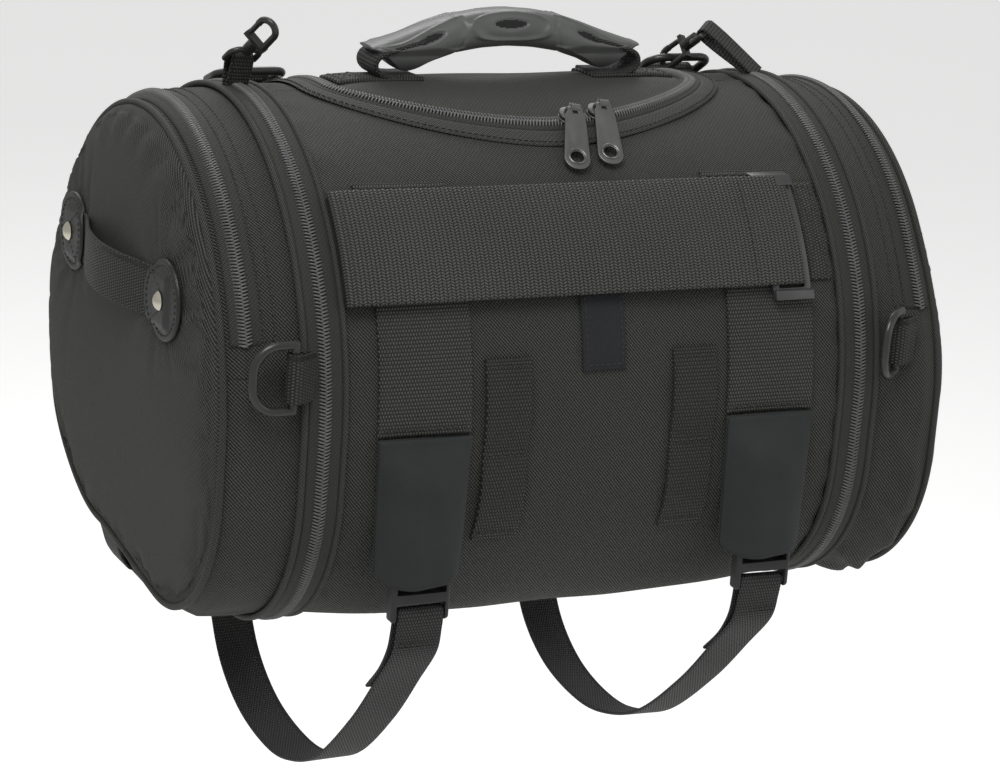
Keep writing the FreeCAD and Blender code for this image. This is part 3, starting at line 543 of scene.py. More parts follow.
def teeth(place, length, side, lift=0.5, phase=0.0):
    """One side of a zipper coil. place(t, g, h): t along the zip, g across it, h outwards."""
    count = int(length / COIL_PITCH)
    across = np.array([-0.9, 0.1, 1.3, 2.4, 3.1, COIL_HALF]) * side
    slant = np.array([0.35, 0.2, 0.0, -0.2, -0.3, -0.35]) * COIL_PITCH
    rise = np.array([0.75, 1.15, 1.35, 1.15, 0.7, 0.1]) + lift
    size = np.array([0.4, 0.56, 0.6, 0.56, 0.46, 0.26])
    turn = np.linspace(0, 2 * math.pi, 6, endpoint=False)
    t0 = (np.arange(count) + 0.5 + phase) * length / count
    t = t0[:, None, None] + slant[None, :, None] + size[None, :, None] * np.cos(turn)[None, None, :]
    h = rise[None, :, None] + size[None, :, None] * np.sin(turn)[None, None, :] + 0 * t
    g = across[None, :, None] + 0 * t
    points = place(t, g, h).reshape(-1, 3)
    one = tube_faces(6, 6)
    if side < 0:
        one = flipped(one)
    faces = [tuple(k + 36 * i for k in f) for i in range(count) for f in one]
    return points, faces, np.stack([g.ravel(), t.ravel()], -1)


def plate(name, loops, thick, bevel, material):
    """Flat plate with holes, cut from closed loops of (x, y) points and given rounded edges."""
    curve = bpy.data.curves.new(name, "CURVE")
    curve.dimensions = "2D"
    curve.fill_mode = "BOTH"
    curve.extrude = (thick / 2 - bevel) * MM
    curve.bevel_depth = bevel * MM
    curve.bevel_resolution = 2
    for loop in loops:
        spline = curve.splines.new("POLY")
        spline.points.add(len(loop) - 1)
        for point, (x, y) in zip(spline.points, loop):
            point.co = (x * MM, y * MM, 0, 1)
        spline.use_cyclic_u = True
    temporary = link(name, curve)
    bpy.context.view_layer.update()
    mesh = bpy.data.meshes.new_from_object(temporary.evaluated_get(bpy.context.evaluated_depsgraph_get()))
    bpy.data.objects.remove(temporary)
    cleaner = bmesh.new()
    cleaner.from_mesh(mesh)
    bmesh.ops.remove_doubles(cleaner, verts=cleaner.verts, dist=1e-6)
    bmesh.ops.recalc_face_normals(cleaner, faces=cleaner.faces)
    cleaner.to_mesh(mesh)
    cleaner.free()
    mesh.materials.clear()
    mesh.materials.append(material)
    return link(name, mesh)


def axes_matrix(centre, x_axis, z_axis):
    """Matrix that puts a piece drawn at the origin at centre, its own X and Z along the given axes."""
    z = Vector(z_axis).normalized()
    y = z.cross(Vector(x_axis)).normalized()
    x = y.cross(z)
    matrix = Matrix((x, y, z)).transposed().to_4x4()
    matrix.translation = Vector(centre) * MM
    return matrix


def soften(made, width):
    modifier = made.modifiers.new("rounding", "BEVEL")
    modifier.width = width * MM
    modifier.segments = 2
    modifier.limit_method = "ANGLE"
    modifier.angle_limit = math.radians(32)
    modifier.harden_normals = False


def paint_node(node, material, bevel=0.0):
    """Carried-over CAD node: its own material, smooth shading and softened edges."""
    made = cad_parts[node]
    made.data.materials.clear()
    made.data.materials.append(material)
    made.data.polygons.foreach_set("use_smooth", [True] * len(made.data.polygons))
    closer = made.modifiers.new("weld", "WELD")
    closer.merge_threshold = 0.01 * MM
    if bevel:
        soften(made, bevel)
    shade = made.modifiers.new("edges", "EDGE_SPLIT")
    shade.split_angle = math.radians(38)


# ---- main compartment --------------------------------------------------------------------
def nose_columns(clear, count):
    """x and y of the lid's curved front edge, closer together near its ends."""
    angle = np.linspace(math.pi, 0, count)
    x = (LID_HALF + clear) * np.sign(np.cos(angle)) * np.abs(np.cos(angle)) ** (2 / LID_POWER)
    y = LID_SHOULDER - (LID_NOSE + clear) * np.sin(angle) ** (2 / LID_POWER)
    return x, y


def shell(place, clear, half, rows=250):
    """Wall of the roll from -half to half with the lid opening left out."""
    x, y = nose_columns(clear, 71)
    front = s_at_y(y)
    rear = 2 * HALF_LOOP + s_at_y(LID_REAR + clear)
    t = np.linspace(0, 1, rows)
    s = front[:, None] + (rear - front[:, None]) * t[None, :]
    xx = np.broadcast_to(x[:, None], s.shape)
    parts = [sheet(place(xx, s), xx, s)]
    bridge = np.linspace(rear, 2 * HALF_LOOP + front[0], 34)[1:-1]
    loop = np.concatenate([s[0], bridge])
    for a, b in ((-half, x[0]), (x[-1], half)):
        columns = np.linspace(a, b, 15)
        xx, ss = np.meshgrid(columns, loop, indexing="ij")
        parts.append(sheet(place(xx, ss), xx, ss, around=True))
    return join(parts)


piece("main_shell_fabric", shell(body_skin, 0.6, BODY_HALF + 0.9), mat_twill, "bag", ["main_shell"],
      merge=MERGE, thick=2.4)


def lining_skin(x, s):
    crease = 0.35 * np.sin(x / 13 + 3 * np.sin(s / 60)) * np.sin(s / 19)
    return skin(x, s, -3.3 + crease)


piece("inner_lining", shell(lining_skin, 2.4, BODY_HALF - 2, rows=180), mat_lining, "bag",
      ["main_lining"], merge=MERGE, thick=0.7)


LOOP_STEPS = 520  # points of a tape or a cord that runs right round the roll


def cord(x, h, radius, place=skin):
    """Piping that runs right round the roll."""
    path = place(x, np.linspace(-HALF_LOOP, HALF_LOOP, LOOP_STEPS, endpoint=False), h)
    return sweep(path, (1, 0, 0), circle(radius), closed=True)


cords = join([cord(sign * BODY_PIPING, 0.1, 1.65) for _, sign in SIDES])
piece("body_piping_cords", cords, mat_piping, "bag", ["body_pipings"])


# ---- zippers between the main compartment and the end pockets -----------------------------
def ring_band(x0, x1, h0, h1, s_range=None, place=skin):
    """Flat band of tape that runs round the roll between two x positions and two heights."""
    columns = 7
    x = np.linspace(x0, x1, columns)
    rim = np.sqrt(1 - np.linspace(-1, 1, columns) ** 8)
    middle, half = (h0 + h1) / 2, (h1 - h0) / 2
    profile = [(a, middle + half * (0.25 + 0.75 * r)) for a, r in zip(x, rim)]
    profile += [(a, middle - half * (0.25 + 0.75 * r)) for a, r in zip(x[::-1], rim[::-1])]
    profile = np.array(profile)
    around = s_range is None
    if around:
        s = np.linspace(-HALF_LOOP, HALF_LOOP, LOOP_STEPS, endpoint=False)
    else:
        s = np.linspace(*s_range, max(8, int((s_range[1] - s_range[0]) / 1.7)))
    points = place(profile[None, :, 0], s[:, None], profile[None, :, 1])
    uv = np.stack(np.broadcast_arrays(profile[None, :, 0], s[:, None]), -1)
    return points.reshape(-1, 3), flipped(tube_faces(*points.shape[:2], closed=around)), uv.reshape(-1, 2)


def expansion_place(sign):
    return lambda t, g, h: skin(sign * EXPANSION_ZIP + g, t - HALF_LOOP, h)


tapes, coils = [], []
for side, sign in SIDES:
    tapes.append(ring_band(*sorted(sign * x for x in BODY_TAPE), -0.8, 0.9))
    coils.append(teeth(expansion_place(sign), 2 * HALF_LOOP, -sign))
piece("body_zip_tapes", join(tapes), mat_tape, "bag", ["expansion_zip_body_halves"])
piece("body_zip_coils", join(coils), mat_coil, "bag")

# ---- lid zipper --------------------------------------------------------------------------
nose_x, nose_y = nose_columns(0.0, 121)
LID_ZIP_END = 53.0  # y where the lid zipper stops
shoulder_y = np.linspace(LID_ZIP_END, LID_SHOULDER, 13)
rim_x = np.concatenate([np.full(12, -LID_HALF), nose_x, np.full(12, LID_HALF)])
rim_y = np.concatenate([shoulder_y[:-1], nose_y, shoulder_y[::-1][1:]])
rim_run = run_along(np.stack([rim_x, rim_y], -1))
RIM_LENGTH = rim_run[-1]
COIL_SHORT = 14.0  # the lid coil stops this far from both ends of its tape


def lid_place(t, g, h):
    """Along the lid's rim from its left rear corner, g outwards from the zipper, h off the fabric."""
    t = np.asarray(t, float)
    x, y = np.interp(t, rim_run, rim_x), np.interp(t, rim_run, rim_y)
    ahead_x = np.interp(t + 1.5, rim_run, rim_x) - np.interp(t - 1.5, rim_run, rim_x)
    ahead_y = np.interp(t + 1.5, rim_run, rim_y) - np.interp(t - 1.5, rim_run, rim_y)
    size = np.hypot(ahead_x, ahead_y)
    x, y = x + g * ahead_y / size, y - g * ahead_x / size
    return skin(x, s_at_y(y), h)


def lid_tape(g0, g1, height0, height1):
    """Tape or binding beside the lid zipper; its top slopes from one height to the other."""
    columns = 9
    t = np.linspace(0, RIM_LENGTH, 200)
    g = np.linspace(g0, g1, columns)
    top = np.linspace(height0, height1, columns)
    rim = np.sqrt(1 - np.linspace(-1, 1, columns) ** 6)
    profile = [(a, 0.35 + (b - 0.35) * (0.3 + 0.7 * r)) for a, b, r in zip(g, top, rim)]
    profile += [(a, 0.25) for a in g[::-1]]
    profile = np.array(profile)
    tt, gg, hh = np.broadcast_arrays(t[:, None], profile[None, :, 0], profile[None, :, 1])
    return lid_place(tt, gg, hh).reshape(-1, 3), tube_faces(*tt.shape), np.stack([gg, tt], -1).reshape(-1, 2)


piece("lid_zip_outer_tape", lid_tape(0.3, 6.0, 1.7, 1.6), mat_tape, "bag", ["lid_zip_body_half"],
      merge=MERGE_FINE)
piece("lid_zip_binding", lid_tape(5.6, 15.4, 1.9, 0.8), mat_piping, "bag",
      merge=MERGE_FINE)
edge = np.linspace(4, RIM_LENGTH - 4, 240)
low, high = (lid_place(edge, 13.2 + 0 * edge, height + 0 * edge) for height in (1.35, 2.35))
piece("lid_zip_stitching", stitches(low, high - low), mat_stitch, "bag")


def lid_coil_place(t, g, h):
    return lid_place(np.asarray(t) + COIL_SHORT, g, h)


coil_length = RIM_LENGTH - 2 * COIL_SHORT
piece("lid_zip_outer_coil", teeth(lid_coil_place, coil_length, 1, lift=1.3), mat_coil, "bag")
piece("lid_zip_tape", lid_tape(-5.6, -0.3, 2.2, 2.0), mat_tape, "lid", ["lid_zip_lid_half"],
      merge=MERGE_FINE)
inner_coil = teeth(lid_coil_place, coil_length, -1, lift=1.3, phase=0.5)
piece("lid_zip_inner_coil", inner_coil, mat_coil, "lid")

# ---- lid panel ---------------------------------------------------------------------------
LID_PADDED = 26.0  # the lid rises to its full padding over this width
x, y = nose_columns(-0.6, 61)
front, rear = s_at_y(y), s_at_y(LID_REAR - 0.6)
t = np.linspace(0, 1, 44)
s = front[:, None] + (rear - front[:, None]) * t[None, :]
xx = np.broadcast_to(x[:, None], s.shape)
inset = np.minimum(np.minimum(s - rear, front[:, None] - s), LID_HALF - np.abs(xx)) / LID_PADDED
crown = 2.4 * swell(inset) + 0.3 * np.sin(xx / 15 + s / 9)
lid = sheet(skin(xx, s, crown - 0.2), xx, s)
piece("lid_fabric", lid, mat_lid_painted_shade, "lid", ["lid_panel"], merge=MERGE, thick=2.2)

# sewn edge that the lid folds back on
hinge_s = (s_at_y(LID_REAR - 6.0), s_at_y(LID_REAR + 6.0))
hinge_seam = pad(skin, (2 - LID_HALF, LID_HALF - 2), hinge_s, -1.0, 0.9, step=1.2)
fold_rear, fold_front = (tuple(skin(0, s_at_y(LID_REAR + y), 0)) for y in (4.0, -4.0))
fold = ("lid", fold_rear, fold_front)
piece("lid_hinge_seam", hinge_seam, mat_piping, "bag", bend=fold, merge=MERGE_FINE)

# ---- webbing on the mounting face --------------------------------------------------------
STRIP_IN, STRIP_OUT = 73.5, 124.3
DAISY_IN, DAISY_OUT = 40.8, 66.2
WEB_UNDER, WEB_TOP = 0.3, 1.9  # heights of flat sewn webbing off the fabric
s_strip_top, s_strip_low = s_at_z(233.0), s_at_z(117.0)
s_daisy_top, s_daisy_low = s_at_z(153.0), s_at_z(57.0)
s_strap_top, s_strap_low = s_at_z(228.0), s_at_z(180.5)

webs, threads = [], []
for _, sign in SIDES:
    xs = sorted((sign * STRIP_IN, sign * STRIP_OUT))
    webs.append(pad(body_skin, xs, (s_strip_top, s_strip_low), WEB_UNDER, WEB_TOP))
    for s_row in (s_strip_top + 3.5, s_strip_low - 4.0):
        row = ((xs[0] + 2, s_row), (xs[1] - 2, s_row))
        threads.append(stitch_on(body_skin, *row, WEB_TOP, pitch=4.4, length=3.2, radius=0.5))
piece("vertical_webs", join(webs), mat_web, "bag", ["vertical_webbings"])


def daisy_lift(u, v):
    """The tie-down webbing stands off the fabric between its stitched ends and middle."""
    middle = (s_daisy_top + s_daisy_low) / 2
    span = (s_daisy_low - s_daisy_top) / 2 - 7
    share = np.clip(1 - (np.abs(np.abs(v - middle) - span / 2 - 3) / (span / 2)) ** 2, 0, 1)
    return 1.3 * share


webs = []
for _, sign in SIDES:
    xs = sorted((sign * DAISY_IN, sign * DAISY_OUT))
    webs.append(pad(body_skin, xs, (s_daisy_top, s_daisy_low), WEB_UNDER, WEB_TOP, lift=daisy_lift))
    for s_row in (s_daisy_top + 4, (s_daisy_top + s_daisy_low) / 2, s_daisy_low - 4):
        row = ((xs[0] + 1.5, s_row), (xs[1] - 1.5, s_row))
        threads.append(stitch_on(body_skin, *row, WEB_TOP, pitch=4.0, length=3.0, radius=0.45))
piece("tie_down_webs", join(webs), mat_narrow, "bag", ["daisy_webbings"])

patch_s = (s_at_z(198.0), s_at_z(144.0))
piece("loop_patch", pad(body_skin, (-11.5, 13.5), patch_s, 0.3, 1.7), mat_loop, "bag",
      ["hook_loop_patch"])
frame_s = (patch_s[0] + 3, patch_s[1] - 3)
left_up, left_low, right_up, right_low = ((u, v) for u in (-9, 11) for v in frame_s)
for a, b in ((left_up, left_low), (right_up, right_low), (left_low, right_low)):
    threads.append(stitch_on(body_skin, a, b, 1.7, pitch=3.2, length=2.3))


STRAP_TOP = 6.8  # height of the wide strap's outer face off the fabric


def strap_sag(u, v):
    """The wide strap bows slightly between its ends and curls at its left edge."""
    free = np.clip((u + 141) / 12, 0, 1) * np.clip((119 - u) / 20, 0, 1)
    return 0.9 * swell(free) + 0.35 * np.sin(u / 31.0)


def strap_skin(u, v, h):
    return skin(u, v, h + strap_sag(u, v))


strap_s = (s_strap_top, s_strap_low)
wide_strap = pad(skin, (-141, 119), strap_s, 4.6, STRAP_TOP, step=2.5, rim=1.0, lift=strap_sag)
piece("wide_strap", wide_strap, mat_strap, "bag", ["sissy_bar_strap"])
strap_end = pad(skin, (-140.5, -120), (s_strap_top + 1, s_strap_low - 1), 0.6, 4.4, rim=1.2)
piece("wide_strap_end", strap_end, mat_strap, "bag")
for at_x, margin in ((-136, 4), (90, 3)):
    row = ((at_x, s_strap_top + margin), (at_x, s_strap_low - margin))
    threads.append(stitch_on(strap_skin, *row, STRAP_TOP, pitch=3.6, length=2.6, radius=0.4))

anchor_s = (s_at_z(227.0), s_at_z(182.5))
piece("anchor_web", pad(body_skin, (124.9, 138.0), anchor_s, 0.3, 2.1), mat_web_side, "bag",
      ["strap_anchor_patch"])
sewn = (anchor_s[0] + 3, anchor_s[1] - 3)
left_up, left_low, right_up, right_low = ((u, v) for u in (126.8, 136.3) for v in sewn)
border = ((left_up, right_up), (right_up, right_low), (right_low, left_low), (left_low, left_up))
for start, end in border + ((left_up, right_low), (right_up, left_low)):
    threads.append(stitch_on(body_skin, start, end, 2.1, pitch=3.0, length=2.1))

# ---- sleeves over the lower buckles ------------------------------------------------------
BUCKLE_X = 98.9
SLEEVE_TOP, SLEEVE_LOW = 116.0, 46.0


def sleeve(sign):
    """Soft sleeve sewn flat at its sides, filled by the buckle lower down."""
    uu, zz = np.meshgrid(np.linspace(-1, 1, 41), np.linspace(SLEEVE_TOP, SLEEVE_LOW, 34), indexing="ij")
    down = (SLEEVE_TOP - zz) / (SLEEVE_TOP - SLEEVE_LOW)
    dome = np.clip(1 - (np.abs(uu) / 0.95) ** 3.2, 0, 1) ** 0.75
    fill = np.clip(down / 0.36, 0, 1)
    bulge = (1.2 + 11.0 * ease(fill)) * dome
    bulge = bulge + 0.5 * np.sin(zz / 7 + uu * 2.2) * dome * fill + 0.35 * np.sin(uu * 9 + zz / 15) * dome
    x = sign * BUCKLE_X + uu * (25.0 - 1.8 * down)
    low = zz - 5.0 * dome * down**5 + 1.0 * np.sin(uu * 2.5) * down**4
    y = -137.9 - bulge - 1.0 * np.exp(-(((np.abs(uu) - 0.95) / 0.05) ** 2))
    return np.stack([x, y, low], -1), np.stack([uu * 24.6, zz], -1)


parts = []
for _, sign in SIDES:
    spots, uv = sleeve(sign)
    faces = grid_faces(*spots.shape[:2])
    back = spots.copy()
    back[..., 1] = -136.9
    parts += [(spots, flipped(faces), uv), (back, faces, uv)]
    for row in (spots[2], spots[-3]):
        outward = np.tile([0.0, -1.0, 0.0], (len(row), 1))
        threads.append(stitches(row + [0, -0.15, 0], outward, length=2.4, radius=0.36))
piece("buckle_covers", join(parts), mat_sleeve, "bag", ["buckle_sleeves"], thick=1.1)

piece("face_stitching", join(threads), mat_stitch, "bag")

# ---- end pockets -------------------------------------------------------------------------
def inset_at(x):
    """How far the outline has shrunk at a distance from the middle of the bag."""
    return np.interp(np.abs(x), [154.0, POCKET_ZIP, END_SEAM], [1.2, 4.0, 9.5])


def end_skin(x, s, h=0.0):
    """End pocket outline: drawn in at the lower rear corner; the right one is fuller low down in front."""
    x, s, h = np.broadcast_arrays(np.asarray(x, float), np.asarray(s, float), np.asarray(h, float))
    outer = ease((np.abs(x) - 160) / 42)
    spot = skin(x, s, h - inset_at(x))
    low = ease((80 - spot[..., 2]) / 70)
    drawn_in = 12.5 * outer * low * ease((spot[..., 1] + 75) / 125)
    front = ease((205 - spot[..., 2]) / 90) * ease(-spot[..., 1] / 70)
    fuller = np.where(x > 0, 9.0, 0.0) * outer * front
    outward = skin(x, s, h - inset_at(x) + 1) - spot
    spot = spot + outward * fuller[..., None]
    spot[..., 2] += drawn_in
    spot[..., 1] -= 0.5 * drawn_in * ease(spot[..., 1] / 60)
    return spot


FOLDS = {
    # side: soft folds of the boxing as (x, s, length, width, angle, depth)
    "left": ((172, 372, 26, 6, 0.5, 1.7), (178, 352, 30, 8, 0.35, 1.2), (182, 250, 30, 9, -0.6, 0.8)),
    "right": ((178, 330, 40, 7, 0.75, 3.6), (186, 300, 42, 8, 0.9, 3.2), (176, 352, 34, 6, 0.5, 2.6),
              (190, 262, 34, 8, 1.1, 2.3), (172, 372, 26, 6, 0.4, 2.0), (192, 282, 22, 5, 0.6, 1.6)),
}


def boxing_skin(side):
    def place(x, s, h=0.0):
        x, s = np.broadcast_arrays(np.asarray(x, float), np.asarray(s, float))
        lift = 0.8 * wave(1.7 * x, s + 70) + 0.3
        for fold_x, fold_s, long, wide, angle, depth in FOLDS[side]:
            dx, ds = np.abs(x) - fold_x, s - fold_s
            along = dx * math.cos(angle) + ds * math.sin(angle)
            off = (ds * math.cos(angle) - dx * math.sin(angle)) / wide
            lift = lift + depth * np.exp(-((along / long) ** 2) - off**2) * np.cos(1.6 * off)
        fade = np.clip((np.abs(x) - 163.5) / 8, 0, 1) * np.clip((END_SEAM + 1 - np.abs(x)) / 7, 0.0, 1)
        return end_skin(x, s, h + lift * fade)

    return place


def panel_point(sign, k, s):
    """Padded end panel: k runs from 0 at its centre to 1 at the seam, s runs round it."""
    k, s = np.broadcast_arrays(np.asarray(k, float), np.asarray(s, float))
    seam = end_skin(sign * END_SEAM, s)
    centre = np.array([sign * END_SEAM, 0.0, 132.0])
    points = centre + (seam - centre) * k[..., None]
    pucker = 0.8 * np.exp(-(((1 - k) * 125 - 10) / 9) ** 2) * np.sin(s / 5.2 + 2 * np.sin(s / 37))
    soft = 0.7 * np.sin(points[..., 1] / 23 + 1) * np.sin(points[..., 2] / 31 + 0.5) * (1 - k**8)
    upper = np.clip((150 - np.abs(s)) / 120, 0, 1)
    low_share = 0.3 if sign < 0 else 1.0
    fullness = low_share + (1 - low_share) * ease((points[..., 2] - 30) / 115)
    points[..., 0] += sign * (11.4 * fullness * (1 - np.clip(k, 0, 1) ** 6) ** 0.42 + soft + pucker * upper)
    return points


def disc_grid(count):
    """Square grid bent into a disc: radius 0..1, closer together near the rim, and arc position."""
    u, v = np.meshgrid(np.linspace(-1, 1, count), np.linspace(-1, 1, count), indexing="ij")
    across, up = u * np.sqrt(1 - v * v / 2), v * np.sqrt(1 - u * u / 2)
    k = 1 - (1 - np.clip(np.hypot(across, up), 0, 1)) ** 1.35
    return k, np.arctan2(across, up) / math.pi * HALF_LOOP


CLOTH_FRAMES = 20


def inflate(made, pinned, limit):
    """Lets a padded panel settle as cloth under a little pressure, its sewn edge held still."""
    rest = np.zeros(len(made.data.vertices) * 3)
    made.data.vertices.foreach_get("co", rest)
    hold = made.vertex_groups.new(name="sewn")
    hold.add([int(i) for i in np.flatnonzero(pinned)], 1.0, "REPLACE")
    cloth = made.modifiers.new("cloth", "CLOTH")
    cloth.settings.quality = 6
    cloth.settings.mass = 0.25
    cloth.settings.tension_stiffness = 25
    cloth.settings.compression_stiffness = 18
    cloth.settings.bending_stiffness = 1.2
    cloth.settings.vertex_group_mass = "sewn"
    cloth.settings.shrink_min = -0.03
    cloth.settings.use_pressure = True
    cloth.settings.uniform_pressure_force = 4.0
    cloth.settings.effector_weights.gravity = 0.0
    cloth.collision_settings.use_collision = False
    cloth.point_cache.frame_start, cloth.point_cache.frame_end = 1, CLOTH_FRAMES
    scene = bpy.context.scene
    for step in range(1, CLOTH_FRAMES + 1):
        scene.frame_set(step)
    settled = made.evaluated_get(bpy.context.evaluated_depsgraph_get()).data
    moved = np.zeros(len(rest))
    settled.vertices.foreach_get("co", moved)
    made.modifiers.remove(cloth)
    made.vertex_groups.clear()
    scene.frame_set(1)
    shift = (moved - rest).reshape(-1, 3)
    size = np.linalg.norm(shift, axis=1)[:, None] + 1e-12
    shift = shift / size * (limit * MM) * np.tanh(size / (limit * MM))
    made.data.vertices.foreach_set("co", rest + shift.ravel())
    made.data.update()


around = np.linspace(-HALF_LOOP, HALF_LOOP, 420, endpoint=False)
split_row = int(np.argmin(np.abs(around - s_at_z(SPLIT_Z + 0.6))))
zip_row = int(np.argmin(np.abs(around - s_at_z(169.0))))
s_split, s_pocket_end = around[split_row], around[zip_row]
HEM_X = 184.3  # the boxing is folded under here beside the pocket zipper
GUSSET = smooth_path([(143.9, -1.6), (145.6, -4.0), (147.4, -1.9), (149.2, -4.1), (151.0, -1.9),
                      (152.6, -4.1), (154.4, -2.4)], 25)  # x and height of the folds
BEND = (143.0, 163.0)  # heights given for the end panel's bend as the pocket opens; the panel is not bent
for side, sign in SIDES:
    body, flap = f"{side}_end", f"{side}_flap"
    place = boxing_skin(side)
    bend_up = (flap, (sign * 213.5, 0, BEND[0]), (sign * 213.5, 0, BEND[1]))

    # side wall: all round beside the expansion zipper, and out to the end seam below the pocket zipper
    def wall_grid(columns, rows, closed=False):
        xx, ss = np.meshgrid(sign * columns, rows, indexing="ij")
        points, faces, uvs = sheet(place(xx, ss), xx, ss, closed)
        return points, flipped(faces) if sign > 0 else faces, uvs

    step = around[1] - around[0]
    upper = np.arange(zip_row, split_row + 1)
    beside_zip = np.linspace(HEM_X, POCKET_ZIP - 0.1, 5)
    to_seam = np.linspace(POCKET_ZIP - 0.1, END_SEAM, 6)[1:]
    below = around[split_row] + step * np.arange(int(round((2 * HALF_LOOP - 2 * s_split) / step)) + 1)
    parts = [wall_grid(np.linspace(163.2, HEM_X, 18), around, True), wall_grid(beside_zip, around[upper]),
             wall_grid(beside_zip, -around[upper][::-1]),
             wall_grid(np.concatenate([beside_zip, to_seam]), below)]
    piece(f"{side}_boxing", join(parts), mat_side, body, [f"{side}_end_wall"],
          merge=MERGE, thick=2.0)

    # expansion zipper, outboard half, with the piping beside it
    tape = ring_band(*sorted(sign * x for x in END_TAPE), -0.8, 0.9)
    piece(f"{side}_expansion_tape", tape, mat_tape, body, [f"{side}_end_zip_tape"])
    piece(f"{side}_expansion_piping", cord(sign * END_PIPING, 0.1, 1.75), mat_piping, body)
    coil = teeth(expansion_place(sign), 2 * HALF_LOOP, sign, phase=0.5)
    piece(f"{side}_expansion_coil", coil, mat_coil, body)

    # folded gusset behind the expansion zipper, which on the real bag opens out as the end slides away; here
    # it stays folded
    x, h, ss = np.broadcast_arrays(GUSSET[:, 0:1], GUSSET[:, 1:2], around[None, :])
    points, faces, uvs = sheet(skin(sign * x, ss, h), x, ss, around=True)
    gusset = (points, flipped(faces) if sign > 0 else faces, uvs)
    opening = (body, (sign * 144.0, 0, 130), (sign * 154.3, 0, 130))
    piece(f"{side}_gusset_folds", gusset, mat_lining, "bag", ["expansion_gussets"], opening)

    # pocket zipper over the top of the end
    reach = s_pocket_end + 4

    def pocket_place(t, g, h):
        return end_skin(sign * POCKET_ZIP + g, t - reach, h)

    inner_x = sorted((sign * (HEM_X - 1.5), sign * (POCKET_ZIP - 0.3)))
    outer_x = sorted((sign * (POCKET_ZIP + 0.3), sign * 199.0))
    inner = ring_band(*inner_x, -1.2, 0.2, (-reach, reach), place=end_skin)
    outer = ring_band(*outer_x, -0.2, 0.9, (-reach, reach), place=end_skin)
    piece(f"{side}_pocket_tape", inner, mat_tape, body)
    piece(f"{side}_flap_tape", outer, mat_tape, body, bend=bend_up)
    inner = teeth(pocket_place, 2 * reach, -sign, lift=0.2)
    outer = teeth(pocket_place, 2 * reach, sign, lift=0.2, phase=0.5)
    piece(f"{side}_pocket_coil", inner, mat_coil, body)
    piece(f"{side}_flap_coil", outer, mat_coil, body, bend=bend_up)
    threads = []
    for x in (HEM_X - 1.6, HEM_X - 7.5):
        threads.append(stitch_on(place, (sign * x, -reach), (sign * x, reach), 0.1, pitch=3.2))
    for end in (s_pocket_end + 1.6, -s_pocket_end - 1.6):
        row = ((sign * (HEM_X - 8), end), (sign * (POCKET_ZIP - 1), end))
        threads.append(stitch_on(place, *row, 0.1, pitch=3.0))
    piece(f"{side}_end_stitching", join(threads), mat_stitch, body)

    # end panel with the band above the pocket zipper, and the piping in its seam
    kk, ss = disc_grid(97)
    spots = panel_point(sign, kk, ss)
    uv = np.stack([spots[..., 1], spots[..., 2]], -1).reshape(-1, 2)
    faces = grid_faces(*kk.shape) if sign > 0 else flipped(grid_faces(*kk.shape))
    panel = add_mesh(f"{side}_end_panel", spots.reshape(-1, 3), faces, mat_panel_painted_shade, uv)
    under_patch = np.hypot(np.abs(spots[..., 1]) - 70.0, spots[..., 2] - 174.0) < 20
    inflate(panel, ((kk > 0.965) | under_patch).ravel(), limit=2.6)
    thicken(panel, 2.0)
    attach(panel, body, [f"{side}_end_lower_panel", f"{side}_pocket_flap"], bend_up)
    band_rows = np.arange(len(around))
    beside_coil = (band_rows >= len(around) - zip_row) & (band_rows <= zip_row)
    beside_band = np.linspace(POCKET_ZIP - 0.1, END_SEAM + 0.3, 9)
    parts = [wall_grid(np.linspace(POCKET_ZIP + 0.3, END_SEAM + 0.3, 9), around[beside_coil]),
             wall_grid(beside_band, around[upper]), wall_grid(beside_band, -around[upper][::-1])]
    piece(f"{side}_flap_band", join(parts), mat_side, body, bend=bend_up,
          merge=MERGE, thick=2.0)
    seam = cord(sign * (END_SEAM + 0.6), 0.8, 1.9, place=end_skin)
    piece(f"{side}_seam_piping", seam, mat_piping, body, bend=bend_up)

# ---- inner end walls ---------------------------------------------------------------------
parts = []
around = np.linspace(-HALF_LOOP, HALF_LOOP, 200, endpoint=False)
for _, sign in SIDES:
    kk, ss = np.meshgrid(np.linspace(0.03, 1.0, 24), around, indexing="ij")
    rim = skin(sign * 136.5, ss, -4.2)
    centre = np.array([sign * 136.5, 0.0, 130.0])
    spots = centre + (rim - centre) * kk[..., None]
    ripple = 0.35 * np.sin(spots[..., 1] / 12) * np.sin(spots[..., 2] / 16) * (1 - kk**4)
    spots[..., 0] -= sign * (0.4 + ripple)
    faces = grid_faces(*kk.shape, around=True) + [tuple(range(len(around)))]
    parts.append((spots.reshape(-1, 3), faces, spots[..., 1:].reshape(-1, 2)))
piece("inner_end_walls", join(parts), mat_lining, "bag", ["end_dividers"], merge=MERGE_FINE,
      thick=0.6)

# ---- carry handle ------------------------------------------------------------------------
HANDLE_Y, HANDLE_HALF, GRIP_HALF = 10.0, 12.7, 79.0
HANDLE_AXIS, HANDLE_SWEEP = 280.0, 10.8  # height the grip tips about, and radius its low parts stay inside


def grip_section(x):
    """Underside height, top height and half-width of the grip at an x position."""
    a = np.abs(x)
    top = ((0, 303.3), (15, 302.6), (30, 300.2), (45, 295.8), (60, 290.5), (70, 287.4), (GRIP_HALF, 284.6))
    low = ((0, 283.4), (15, 282.6), (30, 280.3), (45, 275.6), (54, 271.2), (60, 270.6), (66, 274.0),
           (72, 279.0), (GRIP_HALF, 283.4))
    half = ((0, 12.2), (20, 12.6), (40, 13.4), (62, 13.8), (72, 11.8), (GRIP_HALF, 7.6))
    return [np.interp(a, *zip(*table)) for table in (low, top, half)]


def centre_oval(x, t):
    return np.hypot(x / 21.0, t / 7.4)


def wing_oval(x, t):
    return np.hypot((np.abs(x) - 46) / 8.0, (t - 1) / 3.4)


